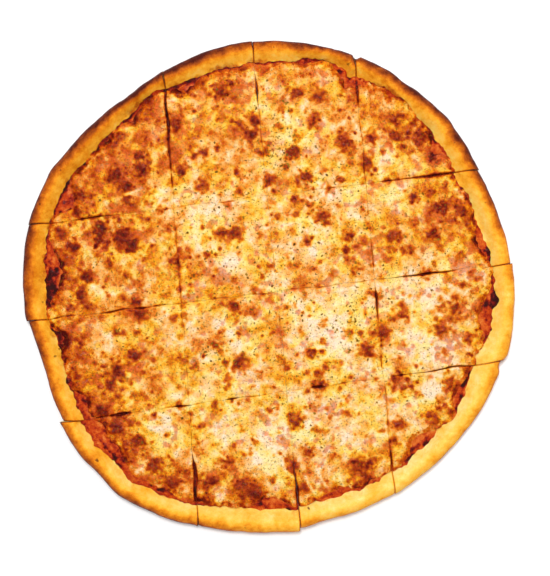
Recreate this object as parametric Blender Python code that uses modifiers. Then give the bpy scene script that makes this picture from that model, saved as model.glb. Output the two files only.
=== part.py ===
"""A thin-crust cheese pizza, cut three times each way into sixteen slices that still lie together.

Each slice has three layers, and each layer is a closed solid of its own: the dough with its
raised rim, the sauce that shows beside the rim and at the cuts, and the cheese with its
browned blisters and dried herb flakes.

Metres, +Z up. The origin is under the middle of the pizza, on the surface it lies on. +Y is
the far side and +X the right side. Rows are counted from the far side, columns from the left.
"""

import math
import random

import bmesh
import bpy
from mathutils import Vector, noise

MM = 0.001

# Overall size. A 14 inch pizza is about 355 mm across.
OUTER_RADIUS = 177.0 * MM
RIM_WIDTH = 15.5 * MM
RIM_HEIGHT = 12.5 * MM
BASE_THICKNESS = 4.6 * MM
SAUCE_THICKNESS = 1.1 * MM
CHEESE_THICKNESS = 2.4 * MM
LAYER_GAP = 0.3 * MM

# Where the middle of the outline's box lies before it is moved to the origin.
BOX_MIDDLE = (0.224 * MM, 1.073 * MM)

# The rim's section, for a rim of the width and height above.
UNDERCUT = 5.0 * MM
BULGE_HEIGHT = 5.4 * MM
CREST_SHARE = 0.42
LOWER_POINTS = 3
UPPER_POINTS = 4
INNER_POINTS = 5
TURN_STEPS = 90

# The hand-stretched outline: (waves round the edge, height in mm, angle of a crest in degrees).
OUTLINE_WAVES = ((2, 1.3, 50), (3, 1.0, -28), (4, 2.0, -21), (5, 1.1, 17), (6, 1.0, -14))
# Local changes along the edge: (angle in degrees, half span in degrees, change in mm).
OUTLINE_DENTS = (
    (10, 7, 0.8), (30, 5, -1.4), (43, 4, 1.0), (57, 4, -1.1), (69.2, 1.2, -3.0),
    (126, 5, -0.9), (151, 6, 1.0), (187, 6, 1.3), (200, 9, -1.2), (228, 7, -2.2),
    (232, 14, 1.2), (277, 6, 1.2), (285, 5, -0.9), (342, 2.6, -2.2),
)
# The same for the rim's width, and for its height.
RIM_SWELLS = ((340, 16, 4.5), (265, 22, 2.0), (124, 12, -5.0), (76, 11, -5.0), (178, 14, 1.6), (40, 6, 1.2))
RIM_LIFTS = ((5, 20, 1.0), (95, 25, -1.2), (150, 18, 0.8), (232, 26, 1.3), (300, 16, -0.9))
# The same for the bays where the cheese stops short of the rim and the sauce shows.
SAUCE_BAYS = (
    (157, 6, 7), (176, 11, 8), (194, 5, 4), (211, 5, 8), (219, 6, 12), (237, 15, 4.5),
    (271, 9, 9), (288, 9, 5), (315, 7, 9), (331, 8, 4.5), (354, 10, 9), (13, 8, 5.5),
    (40, 4, 6), (69, 6, 7), (111, 5, 4), (129, 4, 4),
)

# The cuts: where each crosses the middle in mm, and its tilt in degrees. They are not quite square.
CUTS_AWAY = ((-63.6, 4.4), (5.8, 5.7), (77.0, 5.3))
CUTS_ACROSS = ((66.4, 7.1), (-3.3, 6.8), (-76.1, 8.0))
CUT_WANDER = 0.45 * MM
CUT_WANDER_LENGTH = 34.0 * MM
HALF_KERF = 0.25 * MM
# Where each cut stands open, in mm: (place along the cut, half length, extra width on each side).
OPENINGS_AWAY = (
    ((120, 46, 0.55), (-138, 24, 1.0)),
    ((142, 14, 0.45), (-152, 32, 0.6)),
    ((144, 13, 0.45), (-10, 15, 0.45), (-127, 13, 0.35)),
)
OPENINGS_ACROSS = (
    ((-126, 17, 0.4), (118, 27, 0.4)),
    ((112, 34, 0.4), (-110, 15, 0.2)),
    ((-148, 14, 0.45), (-106, 10, 0.6), (-62, 9, 0.4), (-26, 7, 0.4), (36, 7, 0.35), (130, 38, 0.35)),
)
CELL_SIDE_STEPS = 7
CELL_REACH = 230.0 * MM
CELL_HEIGHT = 60.0 * MM
ROWS = len(CUTS_ACROSS) + 1
COLUMNS = len(CUTS_AWAY) + 1

# How far each slice has slipped from its place, in mm, by row and column.
SLIPS = (
    ((-0.7, -0.3), (-0.2, -0.3), (-0.1, -0.7), (0.0, 0.3)),
    ((-0.2, -0.5), (0.0, 0.0), (0.0, 0.0), (-0.7, -0.8)),
    ((1.3, 0.1), (0.0, 0.0), (0.0, 0.0), (0.6, -0.1)),
    ((-1.3, -1.6), (0.3, -1.3), (-0.1, 1.0), (-0.8, 0.0)),
)

# The cheese.
CHEESE_STEP = 12.0 * MM
CHEESE_EDGE_CLEARANCE = 0.6 * MM
CHEESE_EDGE_STEPS = 96
CHEESE_EDGE_RAGGED = 1.0 * MM
MELT_WAVE = 0.5 * MM
MELT_WAVE_LENGTH = 26.0 * MM
# The largest browned blisters: (x, y, radius) in mm.
BLISTERS = (
    (-110, 81, 5.8), (-91, 86, 4.6), (-136, 66, 5.0),
    (-67, 118, 4.8), (-35, 142, 4.4), (-13, 110, 4.8),
    (20, 140, 4.4), (54, 106, 6.0), (17, 99, 4.2), (27, 80, 3.8),
    (91, 122, 4.4), (109, 110, 5.2), (75, 108, 4.2),
    (-121, 42, 4.6), (-106, 37, 6.0), (-132, 8, 4.4),
    (-24, 39, 4.4), (39, 51, 5.2), (124, 58, 5.0), (90, 38, 4.4),
    (-96, -49, 4.6), (-108, -60, 5.4), (-24, -13, 4.2), (31, -47, 4.2), (73, -33, 5.0), (124, -30, 5.0),
    (-109, -101, 5.4), (-82, -127, 5.6), (-40, -139, 5.0), (-19, -143, 6.4),
    (40, -85, 5.4), (28, -118, 4.6), (64, -127, 4.6), (97, -70, 5.4), (118, -94, 5.6),
)
BLISTER_HEIGHT_SHARE = 0.26
BLISTER_SINK_SHARE = 0.10
BLISTER_OVERLAP_SHARE = 0.9
BLISTER_SIDES = 8
BLISTER_RINGS = 6

# Dried herb flakes, which keep clear of the cuts, the blisters and each other.
FLAKE_COUNT = 78
FLAKE_SIDES = 5
FLAKE_TILT = 16
FLAKE_SPREAD = 92.0 * MM
FLAKE_LENGTH = 2.6 * MM
FLAKE_WIDTH = 1.5 * MM
FLAKE_THICKNESS = 0.9 * MM
FLAKE_SEED = 16
KEEP_CLEAR = 3.2 * MM

# Flat faces that meet at less than this many degrees become one face.
FLAT_ANGLE = 0.3

CRUST_COLOUR = (0.83, 0.45, 0.10, 1.0)
SAUCE_COLOUR = (0.45, 0.05, 0.012, 1.0)
CHEESE_COLOUR = (0.88, 0.55, 0.17, 1.0)


def bump(offset, half_span):
    """A smooth hump: 1 where the offset is 0, and 0 from half_span on."""
    share = min(1.0, abs(offset) / half_span)
    return math.cos(share * math.pi / 2) ** 2


def along_edge(angle, places):
    """The sum in metres of local changes (angle, half span, millimetres) at an angle in degrees."""
    total = 0.0
    for centre, half_span, height in places:
        away = (angle - centre + 180) % 360 - 180
        total += height * MM * bump(away, half_span)
    return total


def outer_radius(angle):
    waves = sum(h * MM * math.cos(math.radians(n * (angle - crest))) for n, h, crest in OUTLINE_WAVES)
    return OUTER_RADIUS + waves + along_edge(angle, OUTLINE_DENTS)


def rim_width(angle):
    return RIM_WIDTH + along_edge(angle, RIM_SWELLS)


def rim_height(angle):
    return RIM_HEIGHT + along_edge(angle, RIM_LIFTS)


def cheese_radius(angle):
    """How far the cheese reaches, with its ragged edge."""
    here = Vector((math.cos(math.radians(angle)), math.sin(math.radians(angle)), 0.3)) * 9
    ragged = CHEESE_EDGE_RAGGED * noise.noise(here)
    reach = outer_radius(angle) - rim_width(angle) - CHEESE_EDGE_CLEARANCE
    return reach - along_edge(angle, SAUCE_BAYS) + min(0.0, ragged)


def material(name, colour, roughness):
    made = bpy.data.materials.new(name)
    made.use_nodes = True
    shader = made.node_tree.nodes["Principled BSDF"]
    shader.inputs["Base Color"].default_value = colour
    shader.inputs["Roughness"].default_value = roughness
    shader.inputs["Metallic"].default_value = 0.0
    made.diffuse_color = colour
    return made


def collection(name):
    made = bpy.data.collections.new(name)
    bpy.context.scene.collection.children.link(made)
    return made


def add_object(name, mesh, home):
    made = bpy.data.objects.new(name, mesh)
    home.objects.link(made)
    return made


def evaluated_mesh(source):
    bpy.context.view_layer.update()
    graph = bpy.context.evaluated_depsgraph_get()
    return bpy.data.meshes.new_from_object(source.evaluated_get(graph))


def inner_slope(share):
    """The rim's height over the base, as a share of its rise, from its crest (0) to its foot (1)."""
    return (0.5 + 0.5 * math.cos(math.pi * share)) ** 0.85


def rim_points():
    """The rim's section (radius, height) from its inner foot over the crest to the bottom edge."""
    crest = OUTER_RADIUS - CREST_SHARE * RIM_WIDTH
    rise = RIM_HEIGHT - BASE_THICKNESS
    inner_width = (1 - CREST_SHARE) * RIM_WIDTH
    points = []
    for i in range(INNER_POINTS, 0, -1):
        share = i / INNER_POINTS
        points.append((crest - inner_width * share, BASE_THICKNESS + rise * inner_slope(share)))
    for i in range(UPPER_POINTS):
        turn = math.pi / 2 * i / UPPER_POINTS
        out = CREST_SHARE * RIM_WIDTH * math.sin(turn)
        up = (RIM_HEIGHT - BULGE_HEIGHT) * math.cos(turn)
        points.append((crest + out, BULGE_HEIGHT + up))
    for i in range(LOWER_POINTS + 1):
        turn = math.pi / 2 * i / LOWER_POINTS
        out = UNDERCUT * math.cos(turn)
        points.append((OUTER_RADIUS - UNDERCUT + out, BULGE_HEIGHT * (1 - math.sin(turn))))
    return points


def turned(name, section, home):
    """A closed solid turned from a section that runs from the axis, outwards and back to the axis."""
    mesh = bpy.data.meshes.new(name + "_section")
    points = [(r, 0.0, z) for r, z in section]
    edges = [(i, i + 1) for i in range(len(points) - 1)]
    mesh.from_pydata(points, edges, [])
    profile = add_object(name, mesh, home)
    screw = profile.modifiers.new("turn", "SCREW")
    screw.axis = "Z"
    screw.angle = 2 * math.pi
    screw.steps = TURN_STEPS
    screw.render_steps = TURN_STEPS
    screw.use_merge_vertices = True
    screw.merge_threshold = 0.00001
    solid = evaluated_mesh(profile)
    solid.name = name
    bpy.data.objects.remove(profile)
    return solid


def hand_stretched(mesh):
    """Takes a turned layer's points out to the uneven outline, rim width and rim height."""
    foot = OUTER_RADIUS - RIM_WIDTH
    for vertex in mesh.vertices:
        x, y, z = vertex.co
        radius = math.hypot(x, y)
        if radius < MM:
            continue
        angle = math.degrees(math.atan2(y, x))
        out, width = outer_radius(angle), rim_width(angle)
        if radius > foot:
            stretched = out - (OUTER_RADIUS - radius) * width / RIM_WIDTH
        else:
            stretched = radius * (out - width) / foot
        if z > BASE_THICKNESS and radius > foot:
            rise = (rim_height(angle) - BASE_THICKNESS) / (RIM_HEIGHT - BASE_THICKNESS)
            z = BASE_THICKNESS + (z - BASE_THICKNESS) * rise
        vertex.co = (x * stretched / radius, y * stretched / radius, z)
    return mesh


def close_and_face_out(mesh):
    work = bmesh.new()
    work.from_mesh(mesh)
    bmesh.ops.remove_doubles(work, verts=work.verts, dist=0.00001)
    bmesh.ops.recalc_face_normals(work, faces=work.faces)
    work.to_mesh(mesh)
    work.free()
    return mesh


def dough_layer(home):
    section = [(0.0, BASE_THICKNESS), *rim_points(), (0.0, 0.0)]
    return close_and_face_out(hand_stretched(turned("dough", section, home)))


def sauce_layer(home):
    """The sauce lies on the base and climbs the lowest step of the rim's inner slope."""
    foot = rim_points()[0]
    step = rim_points()[1]
    low, high = LAYER_GAP, LAYER_GAP + SAUCE_THICKNESS
    section = [
        (0.0, foot[1] + high),
        (foot[0], foot[1] + high),
        (step[0], step[1] + LAYER_GAP + 0.5 * SAUCE_THICKNESS),
        (step[0], step[1] + low),
        (foot[0], foot[1] + low),
        (0.0, foot[1] + low),
    ]
    return close_and_face_out(hand_stretched(turned("sauce", section, home)))


def prism(name, outline, home):
    """A closed prism over a flat outline, tall enough to pass through every layer."""
    curve = bpy.data.curves.new(name + "_outline", "CURVE")
    curve.dimensions = "2D"
    curve.fill_mode = "BOTH"
    curve.extrude = CELL_HEIGHT / 2
    spline = curve.splines.new("POLY")
    spline.points.add(len(outline) - 1)
    for point, (x, y) in zip(spline.points, outline):
        point.co = (x, y, 0.0, 1.0)
    spline.use_cyclic_u = True
    flat = add_object(name + "_curve", curve, home)
    mesh = evaluated_mesh(flat)
    mesh.name = name
    close_and_face_out(mesh)
    made = add_object(name, mesh, home)
    made.matrix_world = flat.matrix_world
    bpy.data.objects.remove(flat)
    made.hide_render = True
    made.display_type = "WIRE"
    return made


def wander(cut, place):
    here = Vector((place / CUT_WANDER_LENGTH, cut * 7.3, 0.5))
    return CUT_WANDER * noise.noise(here)


def half_gap(openings, place):
    """Half the width of a cut at a place along it."""
    return HALF_KERF + sum(w * MM * bump(place - at * MM, span * MM) for at, span, w in openings)


def side_away(index, side):
    """x as a function of y along one side of a cut that runs away from the viewer, or the far edge."""
    if index < 0 or index >= len(CUTS_AWAY):
        return lambda y: math.copysign(CELL_REACH, index)
    middle, tilt = CUTS_AWAY[index]
    slope = math.tan(math.radians(tilt))
    openings = OPENINGS_AWAY[index]
    return lambda y: middle * MM - slope * y + wander(index, y) + side * half_gap(openings, y)


def side_across(index, side):
    """y as a function of x along one side of a cut from left to right, or the far edge."""
    if index < 0 or index >= len(CUTS_ACROSS):
        return lambda x: -math.copysign(CELL_REACH, index)
    middle, tilt = CUTS_ACROSS[index]
    slope = math.tan(math.radians(tilt))
    openings = OPENINGS_ACROSS[index]
    return lambda x: middle * MM + slope * x + wander(index + 5, x) + side * half_gap(openings, x)


def cell_sides(row, column):
    """The left and right sides as x of y, then the far and near sides as y of x."""
    left, right = side_away(column - 1, 1), side_away(column, -1)
    far, near = side_across(row - 1, -1), side_across(row, 1)
    return left, right, far, near


def meeting(x_of_y, y_of_x):
    """Where a side that runs away meets a side that runs across."""
    x, y = 0.0, 0.0
    for _ in range(12):
        x = x_of_y(y)
        y = y_of_x(x)
    return x, y


def cell_outline(row, column):
    """The outline of the space that one slice keeps to, between its cuts."""
    left, right, far, near = cell_sides(row, column)
    corners = [meeting(left, far), meeting(right, far), meeting(right, near), meeting(left, near)]
    shares = [i / CELL_SIDE_STEPS for i in range(CELL_SIDE_STEPS)]
    outline = []
    for share in shares:
        x = corners[0][0] + (corners[1][0] - corners[0][0]) * share
        outline.append((x, far(x)))
    for share in shares:
        y = corners[1][1] + (corners[2][1] - corners[1][1]) * share
        outline.append((right(y), y))
    for share in shares:
        x = corners[2][0] + (corners[3][0] - corners[2][0]) * share
        outline.append((x, near(x)))
    for share in shares:
        y = corners[3][1] + (corners[0][1] - corners[3][1]) * share
        outline.append((left(y), y))
    return outline


def cheese_floor():
    return BASE_THICKNESS + SAUCE_THICKNESS + 2 * LAYER_GAP


def cheese_top(x, y):
    """The height of the melted cheese, without its blisters."""
    here = Vector((x / MELT_WAVE_LENGTH, y / MELT_WAVE_LENGTH, 2.0))
    return cheese_floor() + CHEESE_THICKNESS + MELT_WAVE * noise.noise(here)


def cheese_outline():
    outline = []
    for i in range(CHEESE_EDGE_STEPS):
        angle = 360 * i / CHEESE_EDGE_STEPS
        radius = cheese_radius(angle)
        outline.append((radius * math.cos(math.radians(angle)), radius * math.sin(math.radians(angle))))
    return outline


def cheese_layer(home, cutters):
    """A slab with melted waves on its top, cut to the cheese's ragged outline."""
    work = bmesh.new()
    reach = OUTER_RADIUS
    count = round(2 * reach / CHEESE_STEP)
    bmesh.ops.create_grid(work, x_segments=count, y_segments=count, size=reach)
    lower = bmesh.ops.extrude_face_region(work, geom=work.faces[:], use_keep_orig=True)
    bottom = {v for v in lower["geom"] if isinstance(v, bmesh.types.BMVert)}
    for vertex in work.verts:
        vertex.co.z = cheese_floor() if vertex in bottom else cheese_top(vertex.co.x, vertex.co.y)
    bmesh.ops.recalc_face_normals(work, faces=work.faces)
    slab_mesh = bpy.data.meshes.new("cheese")
    work.to_mesh(slab_mesh)
    work.free()
    slab = add_object("cheese_slab", slab_mesh, home)
    cut_to(slab, prism("cheese_edge", cheese_outline(), cutters))
    mesh = evaluated_mesh(slab)
    bpy.data.objects.remove(slab)
    return mesh


def merge_flats(target):
    """Makes one face of each flat area, such as an underside."""
    merge = target.modifiers.new("merge_flats", "DECIMATE")
    merge.decimate_type = "DISSOLVE"
    merge.angle_limit = math.radians(FLAT_ANGLE)


def cut_to(target, cutter):
    keep = target.modifiers.new("keep_" + cutter.name, "BOOLEAN")
    keep.operation = "INTERSECT"
    keep.solver = "EXACT"
    keep.object = cutter


def clearance(x, y, row, column):
    """How far a point lies inside a slice's cheese, from the nearest cut or from the cheese's edge."""
    left, right, far, near = cell_sides(row, column)
    to_cuts = min(x - left(y), right(y) - x, far(x) - y, y - near(x))
    slip_x, slip_y = SLIPS[row][column]
    x, y = x - slip_x * MM, y - slip_y * MM
    to_edge = cheese_radius(math.degrees(math.atan2(y, x))) - math.hypot(x, y)
    return min(to_cuts, to_edge)


def home_slice(x, y, margin):
    """The slice (row, column) whose cheese holds a point with this margin, or None."""
    for row in range(ROWS):
        for column in range(COLUMNS):
            if clearance(x, y, row, column) > margin:
                return row, column
    return None


def blister(x, y, radius, home):
    """A low dome that stands on the cheese."""
    work = bmesh.new()
    bmesh.ops.create_uvsphere(work, u_segments=BLISTER_SIDES, v_segments=BLISTER_RINGS, radius=radius)
    bmesh.ops.scale(work, vec=(1, 1, BLISTER_HEIGHT_SHARE), verts=work.verts)
    mesh = bpy.data.meshes.new("blister")
    work.to_mesh(mesh)
    work.free()
    made = add_object("blister", mesh, home)
    made.location = (x, y, cheese_top(x, y) - BLISTER_SINK_SHARE * radius)
    made.rotation_euler = (0, 0, x * 90)
    return made


def free_spot(x, y, flakes):
    """Whether a flake fits here, clear of the cuts, the blisters and the flakes so far."""
    for blister_x, blister_y, radius in BLISTERS:
        if math.hypot(x - blister_x * MM, y - blister_y * MM) < radius * MM + KEEP_CLEAR:
            return False
    if any(math.hypot(x - other[0], y - other[1]) < 2 * KEEP_CLEAR for other in flakes):
        return False
    return home_slice(x, y, KEEP_CLEAR) is not None


def herb_flakes():
    """Seeded places (x, y, turn, tilt, size) for the flakes, thickest round the middle."""
    draw = random.Random(FLAKE_SEED)
    flakes = []
    while len(flakes) < FLAKE_COUNT:
        x, y = draw.gauss(0, FLAKE_SPREAD), draw.gauss(0, FLAKE_SPREAD)
        turn, tilt = draw.uniform(0, 360), draw.uniform(-FLAKE_TILT, FLAKE_TILT)
        size = draw.uniform(0.75, 1.2)
        if free_spot(x, y, flakes):
            flakes.append((x, y, turn, tilt, size))
    return flakes


def flake(x, y, turn, tilt, size, home):
    """A flat five-sided crumb of dried leaf, half sunk in the cheese."""
    work = bmesh.new()
    low, high = FLAKE_LENGTH / 2, FLAKE_LENGTH / 3
    bmesh.ops.create_cone(
        work, cap_ends=True, segments=FLAKE_SIDES, radius1=low, radius2=high, depth=FLAKE_THICKNESS
    )
    bmesh.ops.scale(work, vec=(size, size * FLAKE_WIDTH / FLAKE_LENGTH, 1), verts=work.verts)
    mesh = bpy.data.meshes.new("flake")
    work.to_mesh(mesh)
    work.free()
    made = add_object("flake", mesh, home)
    made.location = (x, y, cheese_top(x, y))
    made.rotation_euler = (math.radians(tilt), math.radians(tilt / 2), math.radians(turn))
    return made


def fuse(target, pieces):
    """Joins a collection's closed solids to the target and removes them."""
    if not pieces.objects:
        bpy.data.collections.remove(pieces)
        return
    join = target.modifiers.new("join", "BOOLEAN")
    join.operation = "UNION"
    join.solver = "EXACT"
    join.operand_type = "COLLECTION"
    join.collection = pieces
    mesh = evaluated_mesh(target)
    target.modifiers.clear()
    target.data = mesh
    for piece in list(pieces.objects):
        bpy.data.objects.remove(piece)
    bpy.data.collections.remove(pieces)


def shade(target, made_of, sharp_angle):
    target.data.materials.clear()
    target.data.materials.append(made_of)
    target.data.shade_smooth()
    target.data.set_sharp_from_angle(angle=math.radians(sharp_angle))


def toppings_by_slice():
    """Each slice's blisters and flakes, as (function, its arguments)."""
    toppings = {(row, column): [] for row in range(ROWS) for column in range(COLUMNS)}
    for place in BLISTERS:
        x, y, radius = (value * MM for value in place)
        toppings[home_slice(x, y, BLISTER_OVERLAP_SHARE * radius)].append((blister, (x, y, radius)))
    for place in herb_flakes():
        toppings[home_slice(place[0], place[1], KEEP_CLEAR)].append((flake, place))
    return toppings


def add_slice(row, column, layers, toppings, home, cutters, parent):
    """One slice: each whole layer, slipped a little and cut to the slice's own space."""
    place = f"r{row + 1}c{column + 1}"
    cell = prism("cell_" + place, cell_outline(row, column), cutters)
    cell.parent = parent
    slip_x, slip_y = SLIPS[row][column]
    for layer, (mesh, made_of, sharp_angle) in layers.items():
        piece = add_object(f"{layer}_{place}", mesh.copy(), home)
        piece.location = (slip_x * MM, slip_y * MM, 0.0)
        piece.parent = parent
        cut_to(piece, cell)
        if layer == "cheese":
            pieces = collection("toppings_" + place)
            for make, sizes in toppings:
                make(*sizes, pieces)
            fuse(piece, pieces)
        merge_flats(piece)
        shade(piece, made_of, sharp_angle)


def main():
    for old in list(bpy.data.objects):
        bpy.data.objects.remove(old)
    pizza, cutters = collection("cheese_pizza"), collection("cutters")
    middle = add_object("pizza_middle", None, pizza)
    layers = {
        "dough": (dough_layer(pizza), material("baked_dough", CRUST_COLOUR, 0.7), 40),
        "sauce": (sauce_layer(pizza), material("tomato_sauce", SAUCE_COLOUR, 0.35), 40),
        "cheese": (cheese_layer(pizza, cutters), material("melted_cheese", CHEESE_COLOUR, 0.4), 50),
    }
    for (row, column), toppings in toppings_by_slice().items():
        add_slice(row, column, layers, toppings, pizza, cutters, middle)
    middle.location = (-BOX_MIDDLE[0], -BOX_MIDDLE[1], 0.0)


main()
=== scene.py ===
"""The looks of the square-cut cheese pizza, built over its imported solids.

Lengths in the tables are millimetres from the middle of the photograph's pizza, +Y to the far
side. Uneven surfaces come from maps: rasters of smooth seeded noise and of stamped marks, which
each mesh reads at its own points, for its relief and for the masks that its material mixes by.
"""

import math
import random
import bmesh
import bpy
import numpy as np
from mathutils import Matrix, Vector
from mathutils.geometry import delaunay_2d_cdt


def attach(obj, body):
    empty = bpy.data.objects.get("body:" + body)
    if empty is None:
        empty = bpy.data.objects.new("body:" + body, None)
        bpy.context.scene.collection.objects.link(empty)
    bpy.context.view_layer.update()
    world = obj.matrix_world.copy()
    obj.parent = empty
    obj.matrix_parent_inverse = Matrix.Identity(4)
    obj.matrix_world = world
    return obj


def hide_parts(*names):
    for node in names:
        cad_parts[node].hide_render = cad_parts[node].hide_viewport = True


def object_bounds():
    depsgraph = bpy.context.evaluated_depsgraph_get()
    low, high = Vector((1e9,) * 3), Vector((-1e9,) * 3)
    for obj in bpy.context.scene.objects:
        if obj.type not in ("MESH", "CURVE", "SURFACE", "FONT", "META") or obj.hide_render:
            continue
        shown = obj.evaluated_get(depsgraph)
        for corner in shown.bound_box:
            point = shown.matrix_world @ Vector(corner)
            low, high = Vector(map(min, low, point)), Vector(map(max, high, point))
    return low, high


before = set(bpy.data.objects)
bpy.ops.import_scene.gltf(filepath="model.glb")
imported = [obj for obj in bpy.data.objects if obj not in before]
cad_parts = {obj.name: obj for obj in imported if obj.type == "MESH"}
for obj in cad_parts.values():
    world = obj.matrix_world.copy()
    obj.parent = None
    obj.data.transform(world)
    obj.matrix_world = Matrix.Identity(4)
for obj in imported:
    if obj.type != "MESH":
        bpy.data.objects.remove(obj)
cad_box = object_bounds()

MM = 0.001

# Driving sizes in mm, the same as the solids'.
OUTER_RADIUS = 177.0
RIM_WIDTH = 15.5
RIM_HEIGHT = 12.5
BASE_THICKNESS = 4.6
SAUCE_THICKNESS = 1.1
CHEESE_THICKNESS = 2.4
LAYER_GAP = 0.3
UNDERCUT = 5.0
BULGE_HEIGHT = 5.4
CREST_SHARE = 0.42
MIDDLE = (0.224, 1.073)
TALLEST = (cad_box[1][2] - cad_box[0][2]) / MM - 0.05
# How far up the rim the sauce reaches, from 0 on the outline to 1 at the rim's inner foot. The
# cheese reaches to the foot.
SAUCE_REACH_SHARE = 0.97

# The outline, as in the solids: (waves round the edge, height, angle of a crest in degrees).
OUTLINE_WAVES = ((2, 1.3, 50), (3, 1.0, -28), (4, 2.0, -21), (5, 1.1, 17), (6, 1.0, -14))
# Local changes along the edge: (angle, half span, change).
OUTLINE_DENTS = (
    (10, 7, 0.8), (30, 5, -1.4), (43, 4, 1.0), (57, 4, -1.1), (69.2, 1.2, -3.0), (126, 5, -0.9),
    (151, 6, 1.0), (187, 6, 1.3), (200, 9, -1.2), (228, 7, -2.2), (232, 14, 1.2), (277, 6, 1.2),
    (285, 5, -0.9), (342, 2.6, -2.2),
)
RIM_SWELLS = ((340, 16, 4.5), (265, 22, 2.0), (124, 12, -5.0), (76, 11, -5.0), (178, 14, 1.6), (40, 6, 1.2))
RIM_LIFTS = ((5, 20, 1.0), (95, 25, -1.2), (150, 18, 0.8), (232, 26, 1.3), (300, 16, -0.9))
SAUCE_BAYS = (
    (157, 6, 7), (176, 11, 8), (194, 5, 4), (211, 5, 8), (219, 6, 12), (237, 15, 4.5), (271, 9, 9),
    (288, 9, 5), (315, 7, 9), (331, 8, 4.5), (354, 10, 9), (13, 8, 5.5), (40, 4, 6), (69, 6, 7),
    (111, 5, 4), (129, 4, 4),
)
# More of the sauce laid bare, where the cheese has drawn back further than the solids show.
MORE_BAYS = ((226, 9, 8.0), (176, 14, 3.5), (156, 7, 4.5), (88, 26, 1.5), (300, 10, 1.2))
# Where the toppings climb further up the rim, or less.
CLIMBS = ((-138, 34, 1.2), (-32, 24, -1.0), (28, 20, -1.1), (57, 10, 3.6), (-34.5, 4, 3.4))

# The cuts, as in the solids: where each crosses the middle, and its tilt in degrees.
CUTS_AWAY = ((-63.6, 4.4), (5.8, 5.7), (77.0, 5.3))
CUTS_ACROSS = ((66.4, 7.1), (-3.3, 6.8), (-76.1, 8.0))
# Where each cut stands open: (place along the cut, half length, extra width on each side).
OPENINGS_AWAY = (
    ((120, 46, 0.55), (-138, 24, 1.0)),
    ((142, 14, 0.45), (-152, 32, 0.6)),
    ((144, 13, 0.45), (-10, 15, 0.45), (-127, 13, 0.35)),
)
OPENINGS_ACROSS = (
    ((-126, 17, 0.4), (118, 27, 0.4)),
    ((112, 34, 0.4), (-110, 15, 0.2)),
    ((-148, 14, 0.45), (-106, 10, 0.6), (-62, 9, 0.4), (-26, 7, 0.4), (36, 7, 0.35), (130, 38, 0.35)),
)
CELL_REACH = 230.0
CELL_STEP = 0.8
CORNER_ROUNDS = 14
# Each layer's cut: the least half width, and the share of the openings that it takes.
DOUGH_CUT = (0.07, 0.08)
CHEESE_CUT = (0.06, 1.0)
# How far each slice has slipped from its place.
SLIPS = (
    ((-0.7, -0.3), (-0.2, -0.3), (-0.1, -0.7), (0.0, 0.3)),
    ((-0.2, -0.5), (0.0, 0.0), (0.0, 0.0), (-0.7, -0.8)),
    ((1.3, 0.1), (0.0, 0.0), (0.0, 0.0), (0.6, -0.1)),
    ((-1.3, -1.6), (0.3, -1.3), (-0.1, 1.0), (-0.8, 0.0)),
)
ROWS = COLUMNS = 4

# Mesh spacing, the seeds of the scattered points, and the angle in degrees from which an edge is
# shaded sharp.
CHEESE_STEP = 0.65
CHEESE_EDGE_STEP = 0.8
SAUCE_STEP = 0.9
RIM_STEP = 0.9
UNDER_STEP = 2.5
COARSE_STEP = 7.0
GRID_SPREAD = 0.22
COARSE_SEEDS = {"cheese": 7, "sauce": 8, "dough": 9}
CHEESE_SEED, SAUCE_SEED = 100, 200
TOPPING_SHARP, DOUGH_SHARP, FLAKE_SHARP = 50, 45, 30
# How far from the cuts and from the toppings' edge the scattered points keep, and the distances
# of the rows of points that follow the cuts.
CHEESE_CLEAR, SAUCE_CLEAR, DOUGH_CLEAR, EDGE_CLEAR = 1.15, 0.4, 1.2, 0.4
CHEESE_ROWS = (0.3, 0.75)
DOUGH_ROWS = (0.35, 0.8)
# Where a layer is thinner than this at its edge, its top and bottom meet in a line.
FUSED_BELOW = 0.03

# Maps.
MAP_REACH = 190.0
MAP_STEP = 0.5
MAP_SIZE = round(2 * MAP_REACH / MAP_STEP) + 1
MAP_AXIS = np.linspace(-MAP_REACH, MAP_REACH, MAP_SIZE)
MAP_X, MAP_Y = np.meshgrid(MAP_AXIS, MAP_AXIS)
MAP_RADIUS = np.hypot(MAP_X, MAP_Y)
MAP_ANGLE = np.degrees(np.arctan2(MAP_Y, MAP_X))


def bump(offset, half_span):
    """A smooth hump: 1 where the offset is 0, and 0 from half_span on."""
    share = np.minimum(1.0, np.abs(offset) / half_span)
    return np.cos(share * np.pi / 2) ** 2


def step_between(low, high, value):
    """0 at low, 1 at high, smooth between and level beyond. Low may be the greater."""
    share = np.clip((value - low) / (high - low), 0, 1)
    return share * share * (3 - 2 * share)


def noise_map(size, seed):
    """Smooth noise of mean 0 and spread 1, in blobs about 3.5 sizes across."""
    white = np.random.default_rng(seed).standard_normal((MAP_SIZE, MAP_SIZE))
    waves = np.fft.fftfreq(MAP_SIZE, MAP_STEP) * 2 * np.pi
    along, across = np.meshgrid(waves * size, waves * size)
    smooth = np.real(np.fft.ifft2(np.fft.fft2(white) * np.exp(-(along**2 + across**2) / 2)))
    return (smooth - smooth.mean()) / smooth.std()


def read_map(field, x, y):
    """A map's values at points, by bilinear interpolation."""
    u = np.clip((x + MAP_REACH) / MAP_STEP, 0, MAP_SIZE - 1.001)
    v = np.clip((y + MAP_REACH) / MAP_STEP, 0, MAP_SIZE - 1.001)
    column, row = u.astype(int), v.astype(int)
    fu, fv = u - column, v - row
    near = field[row, column] * (1 - fu) + field[row, column + 1] * fu
    far = field[row + 1, column] * (1 - fu) + field[row + 1, column + 1] * fu
    return near * (1 - fv) + far * fv


# The edge by direction.

def turned_from(angle, start):
    """The turn from one direction to another, from -180 to 180 degrees."""
    return (angle - start + 180) % 360 - 180


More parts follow.
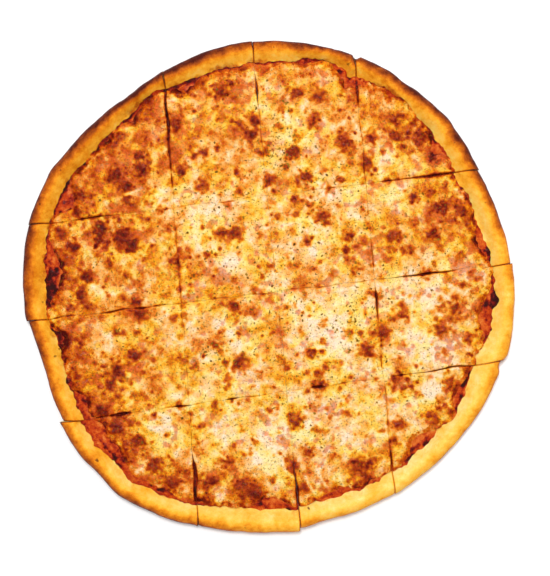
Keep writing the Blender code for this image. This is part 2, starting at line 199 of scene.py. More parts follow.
def along_edge(angle, places):
    total = np.zeros_like(angle)
    for centre, half_span, change in places:
        total = total + change * bump(turned_from(angle, centre), half_span)
    return total


def outer_radius(angle):
    waves = sum(h * np.cos(np.radians(n * (angle - crest))) for n, h, crest in OUTLINE_WAVES)
    return OUTER_RADIUS + waves + along_edge(angle, OUTLINE_DENTS)


def rim_width(angle):
    return RIM_WIDTH + along_edge(angle, RIM_SWELLS)


def rim_height(angle):
    return RIM_HEIGHT + along_edge(angle, RIM_LIFTS)


def on_circle(radius, angle):
    return radius * np.cos(np.radians(angle)), radius * np.sin(np.radians(angle))


def to_polar(x, y):
    """The distance from the middle, and the direction in degrees."""
    return np.hypot(x, y), np.degrees(np.arctan2(y, x))


def within(radius_at, x, y):
    """How far points lie inside an uneven circle."""
    radius, angle = to_polar(x, y)
    return radius_at(angle) - radius


def edge_angles(step):
    count = round(2 * np.pi * OUTER_RADIUS / step)
    return np.arange(count) * 360 / count


def placed(x, y, slip):
    return np.column_stack([x + slip[0], y + slip[1]])


def polar_outline(radius_at, slip, step):
    angle = edge_angles(step)
    return placed(*on_circle(radius_at(angle), angle), slip)


# Surfaces.

RIM_LUMPS = 0.22 * noise_map(5.5, 11) + 0.07 * noise_map(1.6, 12) + 0.03 * noise_map(0.6, 13)
EDGE_WOBBLE = np.minimum(0.0, 0.20 * noise_map(5.0, 14) + 0.07 * noise_map(1.6, 18) - 0.38)
CHEESE_RAGGED = 0.9 * noise_map(3.2, 15) + 0.7 * noise_map(1.0, 16) + 0.5
SAUCE_RAGGED = 0.7 * noise_map(3.2, 17) + 0.35 * noise_map(1.0, 19)
MOST_RAGGED = 0.9


def edge_radius(angle):
    """The outline with its small unevenness."""
    radius = outer_radius(angle)
    return radius + read_map(EDGE_WOBBLE, *on_circle(radius, angle))


def rim_share(x, y):
    """0 on the outline, 1 at the rim's inner foot, and more further in; with the angle."""
    radius, angle = to_polar(x, y)
    return (edge_radius(angle) - radius) / rim_width(angle), angle


def dough_top(x, y):
    """The dough's height at points that are given without their slice's slip."""
    share, angle = rim_share(x, y)
    height = rim_height(angle)
    out = np.clip((CREST_SHARE - share) / CREST_SHARE, 0, 1)
    outside = BULGE_HEIGHT + (height - BULGE_HEIGHT) * np.sqrt(1 - out**2)
    inward = np.clip((share - CREST_SHARE) / (1 - CREST_SHARE), 0, 1)
    slope = (0.5 + 0.5 * np.cos(np.pi * inward)) ** 0.85
    inside = BASE_THICKNESS + (height - BASE_THICKNESS) * slope
    relief = read_map(RIM_LUMPS, x, y) * step_between(0.0, 0.15, share) * step_between(1.1, 0.8, share)
    return np.minimum(np.where(share < CREST_SHARE, outside, inside) + relief, TALLEST)


def dough_bottom(x, y):
    share, angle = rim_share(x, y)
    inward = np.clip(share * rim_width(angle) / UNDERCUT, 0, 1)
    return BULGE_HEIGHT * (1 - np.sqrt(1 - (1 - inward) ** 2))


def cheese_radius(angle):
    reach = outer_radius(angle) - rim_width(angle)
    reach = reach - along_edge(angle, SAUCE_BAYS + MORE_BAYS) + along_edge(angle, CLIMBS)
    return reach + np.minimum(MOST_RAGGED, read_map(CHEESE_RAGGED, *on_circle(reach, angle)))


def sauce_radius(angle):
    reach = outer_radius(angle) - SAUCE_REACH_SHARE * rim_width(angle) + along_edge(angle, CLIMBS)
    return reach + read_map(SAUCE_RAGGED, *on_circle(reach, angle))


# Cuts.

CUT_WANDER = 0.45
WANDER_PLACES = np.arange(-240.0, 241.0, 2.0)
WANDER_SEED = 30


def wander_row(seed):
    """How far a cut strays sideways at each of the wander places."""
    draw = np.random.default_rng(seed)
    waves = [(draw.uniform(22, 60), draw.uniform(0, 6.3)) for _ in range(4)]
    return CUT_WANDER * sum(np.sin(WANDER_PLACES / length * 2 * np.pi + phase) for length, phase in waves) / 2


WANDERS = [wander_row(WANDER_SEED + cut) for cut in range(len(CUTS_AWAY) + len(CUTS_ACROSS))]
# Both sets of cuts: the cuts, their openings and wanders, which way they tilt, and the side on
# which their last cell reaches out.
AWAY = (CUTS_AWAY, OPENINGS_AWAY, WANDERS[:3], -1, 1)
ACROSS = (CUTS_ACROSS, OPENINGS_ACROSS, WANDERS[3:], 1, -1)


def opening(openings, place):
    return sum(width * bump(place - at, span) for at, span, width in openings)


def cut_side(family, index, side, half_kerf, open_share):
    """Where one side of a cut lies, as a function of the place along it; past the last cut, far out."""
    cuts, openings, wanders, tilt_way, far_side = family
    if index < 0 or index >= len(cuts):
        return lambda place: np.full_like(place, far_side * math.copysign(CELL_REACH, index))
    middle, tilt = cuts[index]
    slope = tilt_way * math.tan(math.radians(tilt))

    def lies_at(place):
        line = middle + slope * place + np.interp(place, WANDER_PLACES, wanders[index])
        return line + side * (half_kerf + open_share * opening(openings[index], place))

    return lies_at


def cell_sides(row, column, cut, inset=0.0):
    """The left, right, far and near side of the space that one slice keeps to."""
    widths = cut[0] + inset, cut[1]
    left, right = cut_side(AWAY, column - 1, 1, *widths), cut_side(AWAY, column, -1, *widths)
    far, near = cut_side(ACROSS, row - 1, -1, *widths), cut_side(ACROSS, row, 1, *widths)
    return left, right, far, near


def meeting(x_of_y, y_of_x):
    """The corner where two sides meet, found by going from one to the other."""
    x, y = np.zeros(1), np.zeros(1)
    for _ in range(CORNER_ROUNDS):
        x = x_of_y(y)
        y = y_of_x(x)
    return x[0], y[0]


def cell_outline(row, column, cut, inset=0.0):
    """The outline of the space that one slice keeps to, between its cuts, turning anticlockwise."""
    left, right, far, near = cell_sides(row, column, cut, inset)
    corners = [meeting(left, far), meeting(right, far), meeting(right, near), meeting(left, near)]

    def along(start, end):
        count = max(2, round(abs(end - start) / CELL_STEP))
        return start + (end - start) * np.arange(count) / count

    x_far, x_near = along(corners[0][0], corners[1][0]), along(corners[2][0], corners[3][0])
    y_right, y_left = along(corners[1][1], corners[2][1]), along(corners[3][1], corners[0][1])
    clockwise = np.vstack([
        np.column_stack([x_far, far(x_far)]),
        np.column_stack([right(y_right), y_right]),
        np.column_stack([x_near, near(x_near)]),
        np.column_stack([left(y_left), y_left]),
    ])
    return clockwise[::-1]


class Cell:
    """The space of one slice's layer, between the cuts round it."""

    def __init__(self, layer, row, column, cut):
        self.name = f"{layer}_{row + 1}_{column + 1}"
        self.layer, self.order = layer, COLUMNS * row + column
        self.key = row, column, cut
        self.slip = SLIPS[row][column]
        self.outline = cell_outline(*self.key)

    def grid(self, step, seed, margin=0.0):
        """Points over the cell, as far as the pizza reaches."""
        low = np.maximum(self.outline.min(axis=0), -OUTER_RADIUS - margin)
        high = np.minimum(self.outline.max(axis=0), OUTER_RADIUS + margin)
        return grid_points((low[0], high[0]), (low[1], high[1]), step, seed)

    def coarse_grid(self, margin=0.0):
        return self.grid(COARSE_STEP, COARSE_SEEDS[self.layer], margin)

    def inset(self, distances):
        """Rows of points that follow the cuts at some distances."""
        return np.vstack([cell_outline(*self.key, distance) for distance in distances])

    def from_cuts(self, spots):
        """How far points lie inside the cell, and how open the nearest cut is there."""
        x, y = spots[:, 0], spots[:, 1]
        row, column, _ = self.key
        left, right, far, near = cell_sides(*self.key)
        distances = np.stack([x - left(y), right(y) - x, far(x) - y, y - near(x)])
        gaps = []
        for openings, later, place in ((OPENINGS_AWAY, column, y), (OPENINGS_ACROSS, row, x)):
            for index in (later - 1, later):
                is_cut = 0 <= index < len(openings)
                gaps.append(opening(openings[index], place) if is_cut else np.zeros_like(place))
        nearest = np.argmin(distances, axis=0)
        picked = np.arange(len(x))
        return distances[nearest, picked], np.stack(gaps)[nearest, picked]

    def inner(self, spots):
        """The x and y that points would have without the slice's slip."""
        return spots[:, 0] - self.slip[0], spots[:, 1] - self.slip[1]


# Meshes.

def shared_ground(cell, outline, points):
    """Triangles over the ground inside both outlines, their places, and the loop round them."""
    spots = [Vector(spot) for spot in np.vstack([cell, outline, points])]
    faces = [list(range(len(cell))), list(range(len(cell), len(cell) + len(outline)))]
    places, _, triangles, _, _, owners = delaunay_2d_cdt(spots, [], faces, 0, 1e-5, True)
    kept = np.array([triangle for triangle, owner in zip(triangles, owners) if len(owner) == 2])
    places = np.array([tuple(place) for place in places])
    kept = largest_patch(kept, len(places))
    used, compact = np.unique(kept, return_inverse=True)
    kept = compact.reshape(kept.shape)
    return places[used], kept, border(kept)


def largest_patch(triangles, count):
    """The triangles of the largest connected patch."""
    labels = np.arange(count)
    while True:
        lowest = labels[triangles].min(axis=1)
        spread = labels.copy()
        for corner in range(3):
            np.minimum.at(spread, triangles[:, corner], lowest)
        if np.array_equal(spread, labels):
            break
        labels = spread
    owners = labels[triangles[:, 0]]
    values, sizes = np.unique(owners, return_counts=True)
    return triangles[owners == values[np.argmax(sizes)]]


def border(triangles):
    """The loop of points round a patch of triangles, in their turning direction."""
    edges = np.vstack([triangles[:, [0, 1]], triangles[:, [1, 2]], triangles[:, [2, 0]]])
    known = set(map(tuple, edges.tolist()))
    following = {a: b for a, b in known if (b, a) not in known}
    start = next(iter(following))
    loop = [start]
    while following[loop[-1]] != start:
        loop.append(following[loop[-1]])
    return loop


def closed_mesh(name, ground, top_heights, bottom_points, bottom_at):
    """A solid between a top over the ground's triangles and a bottom with points of its own."""
    places, triangles, loop = ground
    spots = [Vector(spot) for spot in np.vstack([places[loop], bottom_points])]
    outline = [list(range(len(loop)))]
    low_places, _, triangulated, sources, _, owners = delaunay_2d_cdt(spots, [], outline, 0, 1e-6, True)
    low_triangles = [triangle for triangle, owner in zip(triangulated, owners) if owner]
    low_places = np.array([tuple(place) for place in low_places])
    low_heights = bottom_at(low_places[:, 0], low_places[:, 1])
    low_index = np.arange(len(low_places)) + len(places)
    top_of = {}
    for low, origins in enumerate(sources):
        for origin in origins:
            if origin < len(loop):
                top_of[origin] = low
    below = []
    for order, top in enumerate(loop):
        low = top_of[order]
        if top_heights[top] - low_heights[low] < FUSED_BELOW:
            low_index[low] = top
        below.append(low_index[low])
    tops = triangles.tolist()
    lows = [[int(low_index[c]), int(low_index[b]), int(low_index[a])] for a, b, c in low_triangles]
    # Where the edge is so thin that a triangle's top and bottom meet, neither is made.
    flaps = {frozenset(face) for face in tops} & {frozenset(face) for face in lows}
    faces = [face for face in tops + lows if frozenset(face) not in flaps]
    first_side = len(faces)
    for order, top in enumerate(loop):
        following = (order + 1) % len(loop)
        corners = [loop[following], top, int(below[order]), int(below[following])]
        face = [corner for place, corner in enumerate(corners) if corner != corners[place - 1]]
        if len(set(face)) >= 3:
            faces.append(face)
    mesh = bpy.data.meshes.new(name)
    points = np.vstack([
        np.column_stack([places, top_heights]),
        np.column_stack([low_places, low_heights]),
    ])
    mesh.from_pydata(((points - np.array([*MIDDLE, 0.0])) * MM).tolist(), [], faces)
    cut_face = mesh.attributes.new("cut_face", "FLOAT", "FACE")
    cut_face.data.foreach_set("value", (np.arange(len(faces)) >= first_side).astype(np.float32))
    drop_loose(mesh)
    return mesh


def drop_loose(mesh):
    work = bmesh.new()
    work.from_mesh(mesh)
    loose = [vertex for vertex in work.verts if not vertex.link_faces]
    bmesh.ops.delete(work, geom=loose, context="VERTS")
    work.to_mesh(mesh)
    work.free()


def mesh_places(mesh):
    """A mesh's points in the tables' millimetres."""
    flat = np.empty(len(mesh.vertices) * 3)
    mesh.vertices.foreach_get("co", flat)
    return flat.reshape(-1, 3) / MM + np.array([*MIDDLE, 0.0])


def give_mask(mesh, name, values):
    mask = mesh.attributes.new(name, "FLOAT", "POINT")
    mask.data.foreach_set("value", np.clip(values, 0, 1).astype(np.float32))


def add_piece(name, mesh, made_of, sharp_angle):
    mesh.materials.append(made_of)
    mesh.shade_smooth()
    mesh.set_sharp_from_angle(angle=math.radians(sharp_angle))
    piece = bpy.data.objects.new(name, mesh)
    bpy.context.scene.collection.objects.link(piece)
    return piece


def grid_points(x_range, y_range, step, seed):
    """A grid of points, each moved a little at random, over a box."""
    draw = np.random.default_rng(seed)
    x, y = np.meshgrid(np.arange(*x_range, step), np.arange(*y_range, step))
    spread = GRID_SPREAD * step
    x = x + draw.uniform(-spread, spread, x.shape)
    y = y + draw.uniform(-spread, spread, y.shape)
    return np.column_stack([x.ravel(), y.ravel()])


# Marks on the cheese: soft zones as (x, y, radius, strength).

BROWNED = (
    (-142, 72, 22, 0.9), (-122, 108, 18, 0.8), (-97, 122, 14, 0.6), (-110, 80, 18, 0.5),
    (-84, 132, 12, 0.6), (-112, 46, 18, 0.8), (-96, 36, 12, 0.6), (-152, 20, 16, 0.8),
    (-146, -12, 20, 0.7), (-142, -45, 18, 0.7), (-128, -80, 22, 0.7), (-110, -104, 22, 0.6),
    (-88, -128, 18, 0.35), (-72, -142, 14, 0.4), (-50, -146, 10, 0.7), (-62, 142, 12, 0.7),
    (-36, 146, 12, 0.7), (-8, 150, 14, 0.6), (22, 152, 14, 0.4), (64, 148, 16, 0.7), (92, 118, 16, 0.5),
    (116, 106, 16, 0.8), (132, 58, 16, 0.6), (152, 28, 14, 0.6), (136, -24, 16, 0.4),
    (144, -52, 10, 0.5), (120, -94, 14, 0.6), (96, -68, 10, 0.5), (-16, -146, 14, 0.9),
    (20, -146, 10, 0.8), (66, -134, 14, 0.7), (42, -138, 8, 0.4), (-30, -124, 8, 0.5),
    (54, 106, 8, 0.5), (-12, 112, 8, 0.5), (36, -84, 12, 0.4), (90, 30, 16, 0.3), (-95, -55, 14, 0.4),
    (-90, -10, 16, 0.35), (28, 70, 20, 0.2),
)
REDDENED = (
    (-64, 108, 20, 1.0), (-60, 128, 12, 0.5), (-88, 108, 12, 0.5), (-112, 48, 20, 0.5),
    (-94, 64, 12, 0.4), (-132, -20, 16, 0.6), (-55, -2, 14, 0.8), (-40, 22, 8, 0.6),
    (-10, -52, 14, 0.5), (-46, -60, 16, 0.4), (66, 22, 14, 0.5), (88, 30, 16, 0.5), (112, 42, 18, 0.6),
    (40, -82, 14, 0.8), (95, -68, 8, 1.6), (22, -124, 9, 0.8), (66, -128, 14, 0.7), (72, -104, 12, 0.5),
    (-96, -4, 14, 0.5), (-75, -78, 16, 0.4), (-60, -110, 16, 0.4), (-34, -90, 12, 0.4),
    (90, 112, 14, 0.5), (118, 100, 14, 0.7), (-30, 140, 22, 0.4), (30, 140, 18, 0.35),
    (62, 150, 14, 0.6), (8, -4, 12, 0.4), (-112, -60, 18, 0.5), (-15, 116, 10, 0.5), (142, 18, 12, 0.6),
    (-100, 92, 14, 0.3), (45, 6, 10, 0.4), (92, -110, 10, 0.4), (-118, -92, 16, 0.6),
    (-140, 70, 14, 0.7),
)
PALED = (
    (-50, 35, 15, 1.0), (-16, 36, 10, 0.9), (-22, 16, 11, 0.9), (30, 33, 17, 0.9), (58, 62, 14, 0.6),
    (8, 113, 16, 0.8), (28, 110, 10, 0.6), (46, -32, 20, 1.1), (32, -20, 12, 0.7), (0, -110, 19, 1.0),
    (-4, -126, 12, 0.6), (25, -79, 9, 0.9), (112, -42, 18, 0.8), (76, -60, 9, 0.9), (121, -76, 9, 0.9),
    (92, -4, 14, 0.7), (118, -10, 12, 0.5), (-76, 64, 8, 0.7), (-8, 88, 9, 0.6), (28, -108, 10, 0.9),
    (8, -142, 8, 0.8), (60, 88, 10, 0.5), (96, 68, 14, 0.4), (-30, -108, 14, 0.4), (-20, -76, 12, 0.4),
    (72, -86, 12, 0.5), (-92, -106, 16, 0.8), (-68, -110, 12, 0.6), (140, -60, 8, 0.4),
    (-120, 60, 8, 0.3), (66, 36, 7, 0.5), (-66, -30, 14, 0.3), (-122, -4, 9, 0.9), (-128, 45, 7, 0.7),
    (-92, 44, 5, 0.7), (-98, 8, 9, 0.5), (-40, 128, 9, 0.5), (-50, 92, 9, 0.5),
)
# Broad differences of baking over the whole pizza.
TONES = (
    (-112, 20, 42, 0.19), (-100, 85, 38, 0.15), (-32, 108, 38, 0.21), (-112, -40, 38, 0.12),
    (118, 38, 34, 0.10), (108, 92, 32, 0.09), (-45, 25, 34, 0.09), (-45, -40, 34, 0.08),
    (40, 30, 38, 0.05), (40, 105, 30, 0.04), (118, -98, 28, -0.19), (-14, -118, 30, -0.05),
    (125, -40, 28, -0.10), (50, -110, 26, -0.03), (-110, -96, 30, 0.12), (-40, 128, 22, 0.05),
)
# Burnt places along the edge.
BURNT = (
    (-57, 147, 9, 0.9), (-41, 157, 7, 0.6), (-114, 119, 7, 0.9), (-127, 101, 6, 0.7), (58, 154, 7, 0.7),
    (88, 143, 5, 0.7), (113, 123, 6, 0.7), (128, 107, 7, 0.9), (118, 109, 5, 0.8), (139, 93, 5, 0.6),
    (146, 62, 5, 0.6), (151, 30, 6, 0.7), (152, -12, 6, 0.8), (143, -58, 5, 0.7), (134, -78, 5, 0.6),
    (24, -146, 6, 0.7), (72, -140, 7, 0.8), (-14, -147, 11, 0.9), (-111, -100, 7, 0.5),
    (-121, -88, 5, 0.4), (-148, -34, 6, 0.7), (-150, 8, 7, 0.8), (-148, 40, 6, 0.7),
    (-141, -60, 6, 0.6), (-96, -122, 7, 0.6), (-44, -150, 8, 0.5), (-88, 136, 5, 0.6),
    (10, 160, 6, 0.5), (-12, 158, 5, 0.5),
)
# The largest browned blisters: (x, y, radius).
BLISTERS = (
    (-110, 81, 5.8), (-102, 73, 4.2), (-91, 86, 4.6), (-94, 95, 3.2), (-136, 66, 5.0), (-138, 55, 3.6),
    (-67, 118, 4.8), (-63, 84, 3.6), (-48, 73, 3.6), (-35, 142, 4.4), (-52, 149, 3.2), (-59, 145, 2.8),
    (-66, 141, 3.0), (-27, 147, 2.6), (-13, 110, 5.0), (-11, 121, 3.6), (20, 140, 4.4), (32, 121, 4.2),
    (54, 106, 6.0), (17, 99, 4.2), (36, 138, 4.6), (27, 80, 3.8), (0, 78, 3.6), (91, 122, 4.4),
    (91, 110, 4.4), (109, 110, 5.2), (117, 95, 4.6), (75, 108, 3.4), (71, 90, 3.8), (-121, 42, 5.6),
    (-106, 37, 6.2), (-99, 30, 4.6), (-132, 8, 4.4), (-136, -4, 3.4), (-140, 29, 4.0), (-24, 39, 4.6),
    (-34, 40, 3.6), (39, 51, 5.2), (19, 63, 3.4), (58, 37, 4.4), (56, 28, 3.4), (124, 58, 5.2),
    (139, 56, 4.8), (119, 39, 4.8), (90, 38, 4.0), (104, 65, 3.2), (-96, -49, 4.4), (-108, -60, 5.4),
    (-114, -70, 4.0), (-92, -18, 4.6), (-24, -13, 4.2), (-21, -54, 4.4), (31, -47, 3.8), (82, -33, 5.2),
    (71, -45, 4.4), (134, -15, 4.6), (124, -30, 5.0), (144, -36, 4.4), (96, -19, 3.2),
    (-109, -101, 5.6), (-94, -110, 4.6), (-82, -127, 5.6), (-70, -140, 6.0), (-118, -88, 4.4),
    (-40, -139, 4.8), (-29, -124, 4.6), (-19, -143, 6.6), (-8, -150, 4.6), (20, -97, 4.0),
    (28, -118, 4.0), (64, -127, 5.2), (72, -127, 4.0), (18, -128, 4.6), (97, -72, 2.6), (91, -66, 2.4),
    (100, -66, 2.2), (95, -62, 1.8), (103, -71, 1.8), (90, -72, 1.9), (118, -94, 5.6), (95, -98, 4.0),
    (132, -69, 4.6), (131, -89, 3.4), (127, -84, 2.4), (37, -70, 4.0), (90, -109, 3.6),
)
# Pale strands of unmelted cheese: (x, y) of both ends.
PALE_STRANDS = (
    (32, -127, 44, -148), (49, -131, 55, -148), (25, -134, 34, -150), (58, -116, 66, -108),
    (10, -130, 20, -138), (-104, 66, -90, 72), (-84, 54, -76, 66), (96, -84, 106, -78),
    (-40, -116, -30, -124), (-92, -96, -80, -104),
)
RANDOM_BLISTERS = 1100
STRANDS = 1500
MARK_SEED = 160
# How far out the strands and the small blisters are drawn, and where the cheese's edge lies.
STRAND_REACH, BLISTER_REACH, TOPPING_RADIUS = 158, 160, 162


def soft_zones(zones):
    total = np.zeros_like(MAP_X)
    for x, y, radius, strength in zones:
        total += strength * bump(np.hypot(MAP_X - x, MAP_Y - y), 1.5 * radius)
    return total


def window(x, y, reach):
    """The slices of a map within reach of a point."""
    low = [max(0, math.floor((value - reach + MAP_REACH) / MAP_STEP)) for value in (y, x)]
    high = [min(MAP_SIZE, math.ceil((value + reach + MAP_REACH) / MAP_STEP) + 1) for value in (y, x)]
    return slice(low[0], high[0]), slice(low[1], high[1])


def stamp_ridge(ridges, place, turn, half_length, half_width, curl):
    """Adds one shred of cheese to a map, as a ridge of height 1."""
    part = window(*place, half_length + 2)
    away_x, away_y = MAP_X[part] - place[0], MAP_Y[part] - place[1]
    along = away_x * math.cos(turn) + away_y * math.sin(turn)
    across = away_y * math.cos(turn) - away_x * math.sin(turn) - curl * along**2
    ridge = np.clip(1 - (across / half_width) ** 2, 0, 1)
    ridge = ridge * step_between(half_length, 0.6 * half_length, np.abs(along))
    ridges[part] = np.maximum(ridges[part], ridge)


def pale_strands():
    """A map of the strands that stayed pale."""
    ridges = np.zeros_like(MAP_X)
    for x0, y0, x1, y1 in PALE_STRANDS:
        place, turn = ((x0 + x1) / 2, (y0 + y1) / 2), math.atan2(y1 - y0, x1 - x0)
        stamp_ridge(ridges, place, turn, math.hypot(x1 - x0, y1 - y0) / 2 + 1.5, 1.5, 0.012)
    return ridges


def stamp_strands(draw):
    """A map of ridges where shreds of cheese haven't quite melted away."""
    ridges = np.zeros_like(MAP_X)
    for _ in range(STRANDS):
        place = draw.uniform(-STRAND_REACH, STRAND_REACH), draw.uniform(-STRAND_REACH, STRAND_REACH)
        turn = draw.uniform(0, math.pi)
        half_length, half_width = draw.uniform(3.5, 11), draw.uniform(0.7, 1.2)
        stamp_ridge(ridges, place, turn, half_length, half_width, draw.uniform(-0.05, 0.05))
    return ridges


def all_blisters(draw, browning):
    """The blisters as (x, y, radius, strength): those given, and small ones, most where it is browned."""
    blisters = [(x, y, radius, 1.0) for x, y, radius in BLISTERS]
    while len(blisters) < len(BLISTERS) + RANDOM_BLISTERS:
        x, y = (draw.uniform(-BLISTER_REACH, BLISTER_REACH) for _ in range(2))
        radius, strength = 0.9 + 2.1 * draw.random() ** 1.9, draw.uniform(0.2, 0.95)
        browned = float(read_map(browning, np.array(x), np.array(y)))
        if math.hypot(x, y) < TOPPING_RADIUS and draw.random() < 0.14 + 0.55 * browned:
            blisters.append((x, y, radius, strength))
    return blisters


def stamp_blisters(blisters, baked, tones):
    """Browns a map at the blisters, and gives the map of their domes."""
    warp, wrinkle = noise_map(1.0, 21), noise_map(0.7, 30)
    dome = np.zeros_like(MAP_X)
    for x, y, radius, strength in blisters:
        part = window(x, y, 2.6 * radius)
        away = np.hypot(MAP_X[part] - x, MAP_Y[part] - y) / radius * (1 + 0.22 * warp[part])
        height = 0.17 * radius * np.clip(1 - away**2, 0, 1) ** 0.7 * (1 + 0.22 * wrinkle[part])
        dome[part] = np.maximum(dome[part], height)
        level = 0.57 + 0.22 * strength + 0.06 * wrinkle[part] - 0.12 * np.clip(away, 0, 1.3) ** 2
        level = level + 0.55 * np.clip(tones[part], -0.1, 0.3)
        share = step_between(2.15, 0.5, away) * (0.45 + 0.55 * strength)
        baked[part] += np.maximum(0, level - baked[part]) * share
    return dome


def cheese_marks():
    """Maps of the cheese: its thickness, how far it is baked, and where the sauce shows through."""
    browning, reddening, paling, tones = (soft_zones(zones) for zones in (BROWNED, REDDENED, PALED, TONES))
    toward_edge = step_between(120, TOPPING_RADIUS, MAP_RADIUS)
    baked = 0.285 + 0.14 * browning + 0.13 * toward_edge - 0.22 * np.minimum(paling, 1.2)
    baked += tones + 0.36 * soft_zones(BURNT)
    calm = 1 - 0.35 * np.clip(paling, 0, 1)
    baked += calm * (0.04 * noise_map(9.0, 20) + 0.075 * noise_map(3.0, 23) + 0.07 * noise_map(1.2, 22))
    draw = random.Random(MARK_SEED)
    dome = stamp_blisters(all_blisters(draw, browning), baked, tones)
    reddish = 0.75 * noise_map(1.3, 24) + 0.55 * noise_map(4.0, 26)
    red = step_between(0.25, 2.0, reddish + 1.35 * reddening + 0.3 * toward_edge - 0.35 * paling)
    strand, pale = stamp_strands(draw), pale_strands()
    baked = baked - 0.11 * strand * step_between(0.75, 0.45, baked)
    baked = baked * (1 - 0.62 * pale)
    melt = 0.34 * noise_map(6.0, 33) + 0.24 * noise_map(2.2, 34) + 0.12 * noise_map(0.9, 35)
    thickness = CHEESE_THICKNESS + melt + dome + 0.34 * strand + 0.45 * pale - 0.55 * red + 0.15 * paling
    lemon = 0.5 + 0.22 * noise_map(5.0, 38) + 0.2 * noise_map(1.6, 39) - 0.2 * red
    return {
        "thickness": np.clip(thickness, 1.1, 5.0),
        "baked": baked,
        "lemon": np.clip(lemon, 0, 1),
        "red": red * step_between(0.85, 0.6, baked),
    }


CHEESE_MAPS = cheese_marks()
# How far each topping lies above the layer under it or sinks into it, and its edge's thickness.
SAUCE_BED, SAUCE_EDGE = 0.04, 0.16
CHEESE_SINK, CHEESE_EDGE = 0.08, 0.22
CHEESE_FLOOR = BASE_THICKNESS + SAUCE_THICKNESS + 2 * LAYER_GAP - 0.25
CUT_NOISE = 0.8 * noise_map(2.2, 36) + 0.5 * noise_map(6.0, 37)
# Where a closed cut still shows as a soft groove, darkened with painted shade.
SHADED_GROOVES = (
    (-68, 58, 12, 0.8), (-66.5, 36, 12, 0.9), (-65, 12, 14, 1.0), (-63, -12, 10, 0.7),
    (86, -84, 10, 0.8), (88, -104, 12, 0.9), (120, 78, 14, 0.5), (-126, 52, 16, 0.5),
)
GROOVE_SHADE_MAP = soft_zones(SHADED_GROOVES)

# Charred places on the sauce and on the rim's inner foot.
CHARRED = (
    (-157, -5, 14, 1.9), (-158, 12, 8, 0.6), (-158, -8, 8, 1.2), (-158, 38, 7, 0.9),
    (-148, -34, 9, 0.8), (163, -9, 7, 1.2), (-110, 121, 9, 0.8), (-118, -102, 5, 0.8),
    (-112, -110, 6, 0.8), (-104, -119, 6, 0.8), (-14, -147, 10, 0.5), (23, -146, 6, 0.8),
    (72, -141, 8, 0.7), (-57, 147, 11, 0.7), (88, 143, 6, 0.5), (128, 107, 8, 0.6), (121, 108, 6, 0.9),
    (152, 42, 7, 0.7), (-129, 85, 8, 0.5), (141, -66, 8, 0.4), (152, 55, 6, 0.5), (-139, 72, 6, 0.4),
    (66, 156, 6, 0.6), (-95, -125, 8, 0.5), (-70, -145, 6, 0.5),
)
# The direction in which the sauce's thin edge is burnt most.
BURNT_SIDE = 125.0
# Streaks that run along the edge, where the sauce was spread and has shrunk.
EDGE_PLACE = np.radians((MAP_ANGLE - 90) % 360 - 180) * 155
STREAKS = read_map(noise_map(0.9, 47), EDGE_PLACE / 4, MAP_RADIUS)
SAUCE_RELIEF = 0.16 * noise_map(1.6, 41) + 0.08 * noise_map(0.7, 42) + 0.14 * STREAKS
CHAR_MAP = step_between(
    0.2, 1.7, soft_zones(CHARRED) + 0.42 * STREAKS + 0.34 * noise_map(1.4, 43) + 0.2 * noise_map(0.7, 44)
)
FAT_MAP = step_between(-0.2, 1.6, 0.5 * noise_map(2.4, 45) + 0.4 * noise_map(0.9, 46) - 0.5 * STREAKS)

# The rim's browning by direction, every 30 degrees from +X round: over its whole width, and more on its outer
# side. The low values on the near side, from 240 to 330 degrees, paint a pale highlight over the rim there.
RIM_BAKE_AND_HIGHLIGHT = (-0.02, 0.03, 0.13, 0.10, 0.15, 0.16, 0.21, 0.10, -0.06, -0.04, -0.08, -0.08)
OUTER_BAKE = (0.24, 0.66, 0.60, 0.53, 0.78, 0.50, 0.47, 0.40, 0.58, 0.27, 0.20, 0.30)
RIM_SPOTS = (
    (-123, -123, 2.2, 1.0), (26, -174, 1.4, 0.9), (29, -159, 1.5, 0.8), (72, -146, 2.0, 0.7),
    (133, 104, 1.6, 0.9), (160, -31, 1.2, 0.8), (162, 12, 1.2, 0.8), (132, -90, 5.5, 0.8),
    (-163, 60, 2.5, 0.5), (-66, 160, 4, 0.5), (-149, 84, 2, 0.5), (60, 163, 5, 0.6), (100, 135, 4, 0.4),
    (-160, -10, 4, 0.5), (-152, -45, 4, 0.4),
)
RIM_CHAR_MAP = step_between(0.35, 1.1, soft_zones(RIM_SPOTS) + 0.22 * noise_map(0.8, 51))
TOAST_NOISE = 0.8 * noise_map(4.5, 52) + 0.5 * noise_map(1.5, 53)
STAIN_NOISE = 0.8 * noise_map(2.6, 54) + 0.4 * noise_map(1.0, 55)
# Where the topping is smeared up the rim: (angle, half span, strength).
SMEARS = ((58, 12, 0.9),)


# The layers.

def sauce_height(x, y, slip):
    """The sauce's top at points, thinner towards its outer edge."""
    inner_x, inner_y = x - slip[0], y - slip[1]
    fade = step_between(-0.3, 3.5, within(sauce_radius, inner_x, inner_y))
    layer = (SAUCE_THICKNESS + read_map(SAUCE_RELIEF, x, y)) * fade
    return dough_top(inner_x, inner_y) + SAUCE_EDGE + layer


def cheese_foot(x, y, slip):
    """The cheese's underside, which climbs with the sauce where it reaches the rim."""
    return np.maximum(CHEESE_FLOOR, sauce_height(x, y, slip) - CHEESE_SINK)


def cheese_height(x, y, slip):
    """The cheese's top at points, thinner towards its outer edge."""
    fade = step_between(-0.5, 6.0, within(cheese_radius, x - slip[0], y - slip[1]))
    layer = CHEESE_EDGE + (read_map(CHEESE_MAPS["thickness"], x, y) - CHEESE_EDGE) * fade
    return cheese_foot(x, y, slip) + layer


